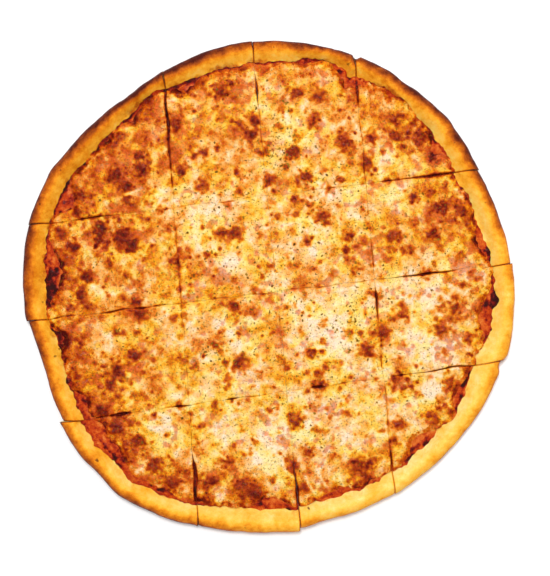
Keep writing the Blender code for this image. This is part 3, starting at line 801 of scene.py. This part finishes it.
def cheese_slice(row, column, made_of):
    cell = Cell("cheese", row, column, CHEESE_CUT)
    points = cell.grid(CHEESE_STEP, CHEESE_SEED + cell.order)
    inside, _ = cell.from_cuts(points)
    points = np.vstack([points[inside > CHEESE_CLEAR], cell.inset(CHEESE_ROWS)])
    points = points[within(cheese_radius, *cell.inner(points)) > EDGE_CLEAR]
    ground = shared_ground(cell.outline, polar_outline(cheese_radius, cell.slip, CHEESE_EDGE_STEP), points)
    x, y = ground[0].T
    inside, open_by = cell.from_cuts(ground[0])
    lip = np.clip(1 - inside / 1.3, 0, 1) ** 2
    valley = 0.30 + 0.22 * read_map(CUT_NOISE, x, y) + 1.1 * np.clip(open_by / 0.5, 0, 1)
    heights = cheese_height(x, y, cell.slip) - lip * np.maximum(0.02, valley)

    def low_at(x, y):
        return cheese_foot(x, y, cell.slip)

    mesh = closed_mesh(cell.name, ground, heights, cell.coarse_grid(), low_at)
    spots = mesh_places(mesh)
    x, y = spots[:, 0], spots[:, 1]
    for mask in ("baked", "red", "lemon"):
        give_mask(mesh, mask, read_map(CHEESE_MAPS[mask], x, y))
    # The cut mask is painted shade: the cheese is darkened towards the cuts, more where a cut stands open and
    # along the shaded grooves.
    inside, open_by = cell.from_cuts(spots)
    groove_shade, wander = read_map(GROOVE_SHADE_MAP, x, y), read_map(CUT_NOISE, x, y)
    shown = np.clip(0.34 + 0.22 * wander + 1.5 * open_by + 0.3 * groove_shade, 0, 1)
    give_mask(mesh, "cut", np.clip(1 - inside / (1.4 + 2.0 * groove_shade), 0, 1) * shown)
    to_edge = within(cheese_radius, *cell.inner(spots))
    give_mask(mesh, "thin", step_between(5.5, 0.0, to_edge + 1.3 * wander))
    return add_piece(cell.name, mesh, made_of, TOPPING_SHARP)


# How far under the cheese the sauce's mesh stays fine.
HIDDEN_SAUCE = 3


def sauce_slice(row, column, made_of):
    cell = Cell("sauce", row, column, DOUGH_CUT)
    fine = cell.grid(SAUCE_STEP, SAUCE_SEED + cell.order)
    inside, _ = cell.from_cuts(fine)
    under_cheese = within(cheese_radius, *cell.inner(fine))
    to_edge = within(sauce_radius, *cell.inner(fine))
    fine = fine[(inside > SAUCE_CLEAR) & (under_cheese < HIDDEN_SAUCE) & (to_edge > EDGE_CLEAR)]
    coarse = cell.coarse_grid()
    coarse = coarse[within(cheese_radius, *cell.inner(coarse)) > HIDDEN_SAUCE + 1]
    outline = polar_outline(sauce_radius, cell.slip, SAUCE_STEP)
    ground = shared_ground(cell.outline, outline, np.vstack([fine, coarse]))

    def low_at(x, y):
        return dough_top(x - cell.slip[0], y - cell.slip[1]) + SAUCE_BED

    mesh = closed_mesh(cell.name, ground, sauce_height(*ground[0].T, cell.slip), coarse, low_at)
    spots = mesh_places(mesh)
    x, y = spots[:, 0], spots[:, 1]
    to_edge = within(sauce_radius, *cell.inner(spots))
    burnt = step_between(2.6, 0.2, to_edge + 0.8 * read_map(CUT_NOISE, x, y))
    burnt = burnt * (0.34 + 0.3 * np.cos(np.radians(to_polar(x, y)[1] - BURNT_SIDE)))
    give_mask(mesh, "char", read_map(CHAR_MAP, x, y) + burnt)
    give_mask(mesh, "fat", read_map(FAT_MAP, x, y))
    # The cut mask is painted shade: the sauce is darkened where a cut stands open.
    inside, open_by = cell.from_cuts(spots)
    give_mask(mesh, "cut", np.clip(1 - inside / 1.6, 0, 1) * np.clip(2 * open_by, 0, 1))
    return add_piece(cell.name, mesh, made_of, TOPPING_SHARP)


def dough_slice(row, column, made_of):
    cell = Cell("dough", row, column, DOUGH_CUT)
    rings = rim_rings(cell.slip)
    inside, _ = cell.from_cuts(rings)
    base = cell.coarse_grid(margin=5)
    base = base[rim_share(*cell.inner(base))[0] > 1.25]
    rows = cell.inset(DOUGH_ROWS)
    share, _ = rim_share(*cell.inner(rows))
    points = np.vstack([rings[inside > DOUGH_CLEAR], rows[(share > 0.02) & (share < 1.05)], base])
    ground = shared_ground(cell.outline, polar_outline(edge_radius, cell.slip, RIM_STEP), points)
    places = ground[0]
    inside, open_by = cell.from_cuts(places)
    heights = dough_top(*cell.inner(places))
    heights = heights - (0.6 + 0.8 * np.clip(open_by, 0, 1)) * np.clip(1 - inside / 0.95, 0, 1) ** 2
    heights = np.maximum(heights, dough_bottom(*cell.inner(places)))

    def low_at(x, y):
        return dough_bottom(x - cell.slip[0], y - cell.slip[1])

    mesh = closed_mesh(cell.name, ground, heights, np.vstack([under_rings(cell.slip), base]), low_at)
    spots = mesh_places(mesh)
    height = spots[:, 2]
    x, y = cell.inner(spots)
    share, angle = rim_share(x, y)
    give_mask(mesh, "toast_and_painted_light", toast_and_highlight(share, angle, x, y))
    smeared = along_edge(angle, SMEARS)
    stain = step_between(0.74, 1.12, share + 0.12 * read_map(STAIN_NOISE, x, y) + 0.3 * smeared)
    stain = stain * (0.4 + 0.6 * np.maximum(smeared, bump(turned_from(angle, BURNT_SIDE), 100)))
    give_mask(mesh, "stain", stain * (height > BASE_THICKNESS - 0.5))
    give_mask(mesh, "char", read_map(RIM_CHAR_MAP, spots[:, 0], spots[:, 1]) * (height > 3))
    give_mask(mesh, "under", step_between(1.2, 0.2, height))
    # The cut mask is painted shade: the rim is darkened along the cuts through it.
    inside, _ = cell.from_cuts(spots)
    give_mask(mesh, "cut", np.clip(1 - inside / 0.8, 0, 1) * (height > 3))
    return add_piece(cell.name, mesh, made_of, DOUGH_SHARP)


def by_direction(angle, amounts):
    """An amount by direction, smooth between values that are given at equal steps round the rim."""
    place = angle / 360 * len(amounts)
    first = np.floor(place).astype(int)
    blend = step_between(0, 1, place - first)
    amounts = np.array(amounts)
    return amounts[first % len(amounts)] * (1 - blend) + amounts[(first + 1) % len(amounts)] * blend


def toast_and_highlight(share, angle, x, y):
    """How browned the rim is: most on its outer side, with a dark line along its edge; paler on the near
    side, where a highlight is painted.
    """
    whole = 0.24 + by_direction(angle, RIM_BAKE_AND_HIGHLIGHT)
    outer = by_direction(angle, OUTER_BAKE)
    line = (0.05 + 0.35 * outer) * step_between(0.11, 0.0, share)
    return whole + outer * step_between(0.78, 0.01, share) + line + 0.05 * read_map(TOAST_NOISE, x, y)


def rim_rings(slip):
    """Points over the rim, in rings as close as its section is steep."""
    angle = edge_angles(RIM_STEP)
    shares = [CREST_SHARE * (1 - math.cos(turn)) for turn in np.linspace(0.12, math.pi / 2, 13)[:-1]]
    shares += list(np.arange(CREST_SHARE, 1.06, 0.045))
    points = []
    for order, share in enumerate(shares):
        shifted = angle + (0.5 * 360 / len(angle) if order % 2 else 0)
        points.append(placed(*on_circle(edge_radius(shifted) - share * rim_width(shifted), shifted), slip))
    return np.vstack(points)


def under_rings(slip):
    """Points over the rim's rounded underside."""
    angle = edge_angles(UNDER_STEP)
    radii = [edge_radius(angle) - UNDERCUT * (1 - math.cos(turn)) for turn in np.linspace(0.3, 1.45, 6)]
    return np.vstack([placed(*on_circle(radius, angle), slip) for radius in radii])


# Herb flakes: dense places as (x, y, radius, count).
HERB_PLACES = (
    (8, 100, 18, 80), (62, -28, 20, 50), (-40, -50, 22, 50), (70, 50, 14, 26), (-60, 70, 16, 20),
    (20, 20, 34, 46), (30, -100, 26, 30), (-20, -10, 34, 38), (110, 20, 30, 30), (-90, -20, 30, 20),
    (-30, 60, 22, 50), (45, 75, 20, 50), (10, 130, 20, 34), (70, -5, 20, 40),
)
HERBS_ALL_OVER = 460
HERB_SEED = 77
# A flake's underside and top, above the cheese; its least radius, and how much more it can be.
FLAKE_LEVELS = (-0.14, 0.16)
FLAKE_LEAST, FLAKE_SPREAD = 0.56, 0.90
FLAKE_LEAN = 0.16
# How far the flakes keep from the cuts and from the cheese's edge.
CUT_CLEARANCE, EDGE_CLEARANCE = 1.6, 2.5


def herb_spots():
    """The flakes' places as (x, y, slip), clear of the cuts and of the cheese's edge."""
    draw = random.Random(HERB_SEED)
    wanted = [(draw.gauss(0, 75), draw.gauss(0, 75)) for _ in range(HERBS_ALL_OVER)]
    for x, y, radius, count in HERB_PLACES:
        wanted += [(draw.gauss(x, radius / 2), draw.gauss(y, radius / 2)) for _ in range(count)]
    wanted, slips = np.array(wanted), {}
    for row in range(ROWS):
        for column in range(COLUMNS):
            cell = Cell("cheese", row, column, CHEESE_CUT)
            clear = cell.from_cuts(wanted)[0] > CUT_CLEARANCE
            clear &= within(cheese_radius, *cell.inner(wanted)) > EDGE_CLEARANCE
            slips.update((index, cell.slip) for index in np.flatnonzero(clear))
    return [(*wanted[index], slips[index]) for index in sorted(slips)]


def herb_flakes(made_of):
    """Dried herb flakes: small torn plates lying in the cheese."""
    draw = random.Random(HERB_SEED + 1)
    points, faces, tones = [], [], []
    for x, y, slip in herb_spots():
        radius = FLAKE_LEAST + FLAKE_SPREAD * draw.random() ** 1.8
        ground = float(cheese_height(np.array([x]), np.array([y]), slip)[0])
        sides = draw.randint(5, 7)
        lean = draw.uniform(-FLAKE_LEAN, FLAKE_LEAN), draw.uniform(-FLAKE_LEAN, FLAKE_LEAN)
        turn, stretch = draw.uniform(0, 2 * math.pi), draw.uniform(0.3, 0.75)
        first, tone = len(points), draw.random()
        for level in FLAKE_LEVELS:
            for corner in range(sides):
                around = 2 * math.pi * (corner + draw.uniform(-0.25, 0.25)) / sides
                reach = radius * draw.uniform(0.7, 1.1)
                along, across = reach * math.cos(around), reach * stretch * math.sin(around)
                u = along * math.cos(turn) - across * math.sin(turn)
                v = along * math.sin(turn) + across * math.cos(turn)
                height = ground + level + lean[0] * u + lean[1] * v
                points.append(((x + u - MIDDLE[0]) * MM, (y + v - MIDDLE[1]) * MM, height * MM))
                tones.append(tone)
        low, high = list(range(first, first + sides)), list(range(first + sides, first + 2 * sides))
        faces += [low[::-1], high]
        for corner in range(sides):
            following = (corner + 1) % sides
            faces.append([low[corner], low[following], high[following], high[corner]])
    mesh = bpy.data.meshes.new("herb_flakes")
    mesh.from_pydata(points, [], faces)
    give_mask(mesh, "tone", np.array(tones))
    return add_piece("herb_flakes", mesh, made_of, FLAKE_SHARP)


# Materials.

# What a white surface that faces the camera shows under this scene's light, and how much of it is gloss.
LIGHT_SHARE = 1.10
GLOSS_SHARE = 0.007
# A colour mix node's sockets, by number, because its sockets for other kinds have the same names.
MIX_FIRST, MIX_SECOND, MIX_RESULT = 6, 7, 2


def seen(red, green, blue):
    """The colour that shows as an sRGB one, given as 0 to 255, under this scene's light."""
    shares = [value / 255 for value in (red, green, blue)]
    shares = [s / 12.92 if s <= 0.04045 else ((s + 0.055) / 1.055) ** 2.4 for s in shares]
    return tuple(max(0.002, (share - GLOSS_SHARE) / LIGHT_SHARE) for share in shares) + (1.0,)


class Recipe:
    """A material's nodes, made by short calls that each return an output socket."""

    def __init__(self, name):
        self.material = bpy.data.materials.new(name)
        self.material.use_nodes = True
        self.tree = self.material.node_tree
        self.tree.nodes.clear()
        self.shader = self.node("BsdfPrincipled")
        self.put(self.shader.outputs["BSDF"], self.node("OutputMaterial").inputs["Surface"])
        self.place = self.scale(self.node("TexCoord").outputs["Object"], 1 / MM)

    def node(self, kind, **settings):
        node = self.tree.nodes.new("ShaderNode" + kind)
        for name, value in settings.items():
            setattr(node, name, value)
        return node

    def put(self, value, socket):
        if isinstance(value, bpy.types.NodeSocket):
            self.tree.links.new(value, socket)
        else:
            socket.default_value = value

    def fill(self, node, **values):
        """Sets inputs, named with _ for each space."""
        for name, value in values.items():
            self.put(value, node.inputs[name.replace("_", " ")])

    def mask(self, name):
        return self.node("Attribute", attribute_name=name).outputs["Fac"]

    def moved(self, *distance):
        """The place in millimetres, moved so that textures of one size don't match."""
        node = self.node("VectorMath", operation="ADD")
        self.put(self.place, node.inputs[0])
        self.put(distance, node.inputs[1])
        return node.outputs[0]

    def noise(self, size, detail=2.0, roughness=0.55, distortion=0.0, shift=0.0):
        """Noise with features about size millimetres across, from about 0.3 to 0.7."""
        texture = self.node("TexNoise")
        self.fill(texture, Scale=1 / size, Detail=detail, Roughness=roughness, Distortion=distortion)
        self.fill(texture, Vector=self.moved(shift, -shift, 0.7 * shift))
        return texture.outputs["Fac"]

    def cells(self, size, shift=0.0):
        """Distance to the nearest of scattered points, 0 at each point, in spacings."""
        texture = self.node("TexVoronoi")
        self.fill(texture, Scale=1 / size, Vector=self.moved(shift, shift, shift))
        return texture.outputs["Distance"]

    def math(self, kind, *values):
        node = self.node("Math", operation=kind)
        for value, socket in zip(values, node.inputs):
            self.put(value, socket)
        return node.outputs[0]

    def add(self, first, second):
        return self.math("ADD", first, second)

    def less(self, first, second):
        return self.math("SUBTRACT", first, second)

    def times(self, first, second):
        return self.math("MULTIPLY", first, second)

    def span(self, value, low, high, out_low=0.0, out_high=1.0):
        """A value taken smoothly from one range to another, and held at its ends."""
        node = self.node("MapRange", interpolation_type="SMOOTHSTEP")
        self.fill(node, Value=value, From_Min=low, From_Max=high, To_Min=out_low, To_Max=out_high)
        return node.outputs["Result"]

    def mix(self, share, first, second):
        node = self.node("Mix", data_type="RGBA")
        self.fill(node, Factor=share)
        self.put(first, node.inputs[MIX_FIRST])
        self.put(second, node.inputs[MIX_SECOND])
        return node.outputs[MIX_RESULT]

    def ramp(self, value, stops):
        """A colour by value, from (place, red, green, blue) stops."""
        node = self.node("ValToRGB")
        marks = node.color_ramp.elements
        while len(marks) < len(stops):
            marks.new(0.5)
        for mark, (place, *colour) in zip(marks, stops):
            mark.position, mark.color = place, seen(*colour)
        self.fill(node, Fac=value)
        return node.outputs["Color"]

    def scale(self, vector, factor):
        node = self.node("VectorMath", operation="SCALE")
        self.put(vector, node.inputs[0])
        self.fill(node, Scale=factor)
        return node.outputs[0]

    def plus_noise(self, value, noise, amount):
        """A value with noise, which lies about 0.5, added to it."""
        return self.math("MULTIPLY_ADD", noise, amount, self.less(value, amount / 2))

    def raggedly(self, value, noise, amount, low, high):
        """A mask whose edge is broken up by noise."""
        return self.span(self.plus_noise(value, noise, amount), low, high)

    def finish(self, colour, roughness, height, bump_depth, **settings):
        self.fill(self.shader, Base_Color=colour, Roughness=roughness, **settings)
        bumped = self.node("Bump")
        self.fill(bumped, Strength=1.0, Distance=bump_depth * MM, Height=height)
        self.fill(self.shader, Normal=bumped.outputs["Normal"])
        return self.material


LEMON_CHEESE = (
    (0.00, 255, 232, 162), (0.18, 255, 217, 116), (0.34, 254, 194, 68), (0.48, 243, 158, 30),
    (0.60, 220, 112, 10), (0.72, 180, 68, 4), (0.84, 132, 38, 2), (1.00, 84, 20, 2),
)
PEACH_CHEESE = (
    (0.00, 255, 229, 198), (0.18, 255, 212, 158), (0.34, 253, 185, 103), (0.48, 240, 148, 52),
    (0.60, 216, 102, 20), (0.72, 178, 62, 6), (0.84, 130, 36, 2), (1.00, 82, 20, 2),
)
BAKED_SAUCE = (
    (0.00, 236, 136, 58), (0.25, 218, 98, 34), (0.45, 196, 66, 18), (0.65, 156, 40, 8),
    (0.82, 104, 24, 8), (1.00, 56, 14, 10),
)
BAKED_DOUGH = (
    (0.00, 259, 234, 154), (0.20, 259, 210, 100), (0.38, 256, 183, 56), (0.52, 237, 148, 34),
    (0.66, 204, 106, 17), (0.80, 154, 71, 10), (0.92, 110, 45, 10), (1.00, 82, 32, 9),
)
# How much further light spreads under the surface as red than as blue.
SPREAD = (1.0, 0.45, 0.15)


def cheese_material():
    recipe = Recipe("melted_cheese")
    small, fine = recipe.noise(2.6, 3, 0.6, 0.6, shift=7), recipe.noise(1.35, 2, 0.6, 0.5, shift=5)
    grain = recipe.noise(0.7, 2, shift=31)
    bare = recipe.mask("baked")
    baked = recipe.plus_noise(recipe.plus_noise(bare, small, 0.38), fine, 0.16)
    edge = recipe.raggedly(recipe.mask("thin"), small, 1.0, 0.2, 1.0)
    cut = recipe.raggedly(recipe.mask("cut"), fine, 0.6, 0.15, 0.9)
    # The cut and cut_face masks add painted shade: the cheese is darkened along the cuts and on its side
    # walls. The thin edge is browned.
    for mask, amount in ((edge, 0.24), (cut, 0.34), (recipe.mask("cut_face"), 0.35)):
        baked = recipe.add(baked, recipe.times(mask, amount))
    speckle = recipe.span(recipe.noise(1.5, 2, 0.55, 0.3, shift=41), 0.60, 0.70, 0, 0.22)
    baked = recipe.add(baked, speckle)
    lemon = recipe.plus_noise(recipe.mask("lemon"), recipe.noise(5.0, 2, shift=61), 0.7)
    peach_cheese, lemon_cheese = recipe.ramp(baked, PEACH_CHEESE), recipe.ramp(baked, LEMON_CHEESE)
    colour = recipe.mix(recipe.span(lemon, 0.1, 0.9), peach_cheese, lemon_cheese)
    red = recipe.raggedly(recipe.plus_noise(recipe.mask("red"), grain, 0.8), small, 1.0, 0.25, 1.0)
    seen_sauce = recipe.mix(recipe.span(small, 0.36, 0.64), seen(184, 54, 10), seen(234, 112, 50))
    colour = recipe.mix(recipe.times(red, 0.66), colour, seen_sauce)
    flecks = recipe.span(recipe.noise(1.35, 1.5, 0.5, 0.4, shift=97), 0.60, 0.67, 0, 0.62)
    colour = recipe.mix(flecks, colour, seen(126, 90, 24))
    light_grain = recipe.add(recipe.times(grain, 0.5), recipe.times(fine, 0.5))
    grain_depth = recipe.span(bare, 0.10, 0.55, 0.0, 0.20)
    shade = recipe.times(grain_depth, recipe.span(light_grain, 0.34, 0.55, -1, 0))
    colour = recipe.scale(colour, recipe.add(shade, recipe.span(light_grain, 0.34, 0.62, 0.79, 1.10)))
    oily = recipe.span(recipe.plus_noise(bare, recipe.noise(3.0, 2, shift=83), 1.6), 0.42, 0.62)
    roughness = recipe.plus_noise(recipe.less(0.46, recipe.times(oily, 0.34)), grain, 0.12)
    height = recipe.plus_noise(recipe.plus_noise(small, fine, 0.8), grain, 0.35)
    return recipe.finish(
        colour, roughness, height, 0.8, Subsurface_Weight=0.15, Subsurface_Radius=SPREAD,
        Subsurface_Scale=1.2 * MM, Specular_IOR_Level=0.07, Coat_Weight=0.02, Coat_Roughness=0.10,
    )


def sauce_material():
    recipe = Recipe("baked_sauce")
    middle, fine = recipe.noise(2.2, 3), recipe.noise(0.9, 3, 0.6, shift=9)
    grain = recipe.noise(0.4, 2, shift=21)
    charred = recipe.mask("char")
    dark = recipe.add(recipe.times(charred, 0.62), 0.44)
    dark = recipe.less(dark, recipe.times(recipe.mask("fat"), 0.26))
    # Painted shade where a cut stands open.
    dark = recipe.add(dark, recipe.times(recipe.mask("cut"), 0.5))
    dark = recipe.plus_noise(recipe.plus_noise(dark, middle, 0.9), fine, 0.7)
    roughness = recipe.add(recipe.span(fine, 0.3, 0.7, 0.24, 0.46), recipe.times(charred, 0.2))
    return recipe.finish(
        recipe.ramp(dark, BAKED_SAUCE), roughness, recipe.plus_noise(fine, grain, 0.6), 0.7,
        Specular_IOR_Level=0.12, Coat_Weight=0.02, Coat_Roughness=0.12,
    )


def dough_material():
    recipe = Recipe("baked_dough")
    broad, middle = recipe.noise(9, 3), recipe.noise(3.0, 4, 0.6, shift=17)
    fine, grain = recipe.noise(0.9, 3, 0.6, shift=4), recipe.noise(0.35, 2, shift=25)
    # The toast mask is browning, with a painted highlight on the near side of the rim.
    toast_and_painted_light = recipe.mask("toast_and_painted_light")
    for noise, amount in ((broad, 0.40), (middle, 0.34), (fine, 0.20)):
        toast_and_painted_light = recipe.plus_noise(toast_and_painted_light, noise, amount)
    # Painted shade along the cuts through the rim.
    toast_and_painted_light = recipe.add(toast_and_painted_light, recipe.times(recipe.mask("cut"), 0.45))
    colour = recipe.ramp(toast_and_painted_light, BAKED_DOUGH)
    stain = recipe.raggedly(recipe.mask("stain"), middle, 0.9, 0.2, 1.0)
    stained = recipe.mix(recipe.span(fine, 0.35, 0.65), seen(140, 44, 6), seen(214, 98, 18))
    colour = recipe.mix(recipe.times(stain, 0.85), colour, stained)
    char = recipe.raggedly(recipe.mask("char"), fine, 0.5, 0.3, 0.9)
    colour = recipe.mix(recipe.times(char, 0.85), colour, seen(92, 34, 14))
    floured = recipe.mix(recipe.span(middle, 0.4, 0.62), seen(188, 120, 52), seen(238, 196, 124))
    colour = recipe.mix(recipe.mask("under"), colour, floured)
    pores = recipe.span(recipe.cells(1.5, 3), 0.15, 0.5)
    crumb = recipe.mix(pores, seen(206, 150, 78), seen(248, 216, 150))
    colour = recipe.mix(recipe.mask("cut_face"), colour, crumb)
    roughness = recipe.plus_noise(recipe.span(middle, 0.3, 0.7, 0.46, 0.64), grain, 0.12)
    height = recipe.plus_noise(recipe.plus_noise(middle, fine, 0.45), grain, 0.2)
    return recipe.finish(
        colour, roughness, height, 0.4, Subsurface_Weight=0.25, Subsurface_Radius=SPREAD,
        Subsurface_Scale=2.5 * MM, Specular_IOR_Level=0.08,
    )


def herb_material():
    recipe = Recipe("dried_herbs")
    fine = recipe.noise(0.4, 3)
    colour = recipe.mix(recipe.mask("tone"), seen(92, 60, 12), seen(164, 126, 42))
    colour = recipe.mix(recipe.span(fine, 0.4, 0.65, 0, 0.5), colour, seen(110, 68, 14))
    roughness = recipe.span(fine, 0.3, 0.7, 0.5, 0.75)
    return recipe.finish(colour, roughness, fine, 0.15, Specular_IOR_Level=0.05)


def floor_material():
    recipe = Recipe("white_floor")
    fine = recipe.noise(1.5, 2)
    colour = recipe.mix(recipe.span(fine, 0.3, 0.7), (0.93, 0.93, 0.94, 1.0), (0.96, 0.96, 0.965, 1.0))
    return recipe.finish(colour, 0.7, fine, 0.02)


# Scene.

CAMERA_PLACE = (4.46, -1.07)
CAMERA_LENS = 90.0
SENSOR_WIDTH = 36.0
FRAME_WIDTH = 396.0
SHARP_HEIGHT = 8.0
FLOOR_REACH = 3.0
FLOOR_LEVEL = -0.0002
SKY_TINT = (0.98, 0.99, 1.0, 1.0)
SKY_STRENGTH = 0.62
# Round lamps that look at the middle: (name, place, width, power, tint).
LAMPS = (
    ("key", (-0.14, 0.52, 1.81), 0.55, 24.2, (1.0, 0.985, 0.96)),
    ("glint", (0.35, 0.75, 1.1), 0.05, 2.5, (1.0, 1.0, 1.0)),
)


def build_pizza():
    cheese, sauce, dough = cheese_material(), sauce_material(), dough_material()
    for row in range(ROWS):
        for column in range(COLUMNS):
            ends = f"_r{row + 1}c{column + 1}"
            for make, made_of, layer, slot in (
                (dough_slice, dough, "dough", "crust"),
                (sauce_slice, sauce, "sauce", "sauce"),
                (cheese_slice, cheese, "cheese", "cheese"),
            ):
                piece = make(row, column, made_of)
                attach(piece, "root")
                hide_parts(layer + ends)
    herbs = herb_flakes(herb_material())
    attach(herbs, "root")


def build_lamps():
    for name, place, width, power, tint in LAMPS:
        lamp = bpy.data.lights.new(name, "AREA")
        lamp.shape = "DISK"
        lamp.size, lamp.energy, lamp.color = width, power, tint
        light = bpy.data.objects.new(name, lamp)
        light.location = place
        light.rotation_euler = (-Vector(place)).to_track_quat("-Z", "Y").to_euler()
        bpy.context.scene.collection.objects.link(light)


def build_camera():
    """A camera that looks straight down."""
    camera_data = bpy.data.cameras.new("camera")
    camera_data.sensor_fit = "HORIZONTAL"
    camera_data.sensor_width = SENSOR_WIDTH
    camera_data.lens = CAMERA_LENS
    camera = bpy.data.objects.new("camera", camera_data)
    distance = FRAME_WIDTH * CAMERA_LENS / SENSOR_WIDTH
    camera.location = (CAMERA_PLACE[0] * MM, CAMERA_PLACE[1] * MM, (distance + SHARP_HEIGHT) * MM)
    bpy.context.scene.collection.objects.link(camera)
    bpy.context.scene.camera = camera


def build_stage():
    bpy.ops.mesh.primitive_grid_add(
        x_subdivisions=8, y_subdivisions=8, size=2 * FLOOR_REACH, location=(0, 0, FLOOR_LEVEL)
    )
    floor = bpy.context.object
    floor.name = "floor"
    floor.data.materials.append(floor_material())
    scene = bpy.context.scene
    scene.view_settings.view_transform = "Standard"
    world = bpy.data.worlds.new("studio")
    scene.world = world
    world.use_nodes = True
    sky = world.node_tree.nodes["Background"].inputs
    sky["Color"].default_value, sky["Strength"].default_value = SKY_TINT, SKY_STRENGTH
    build_lamps()
    build_camera()


build_pizza()
build_stage()
bpy.context.view_layer.update()
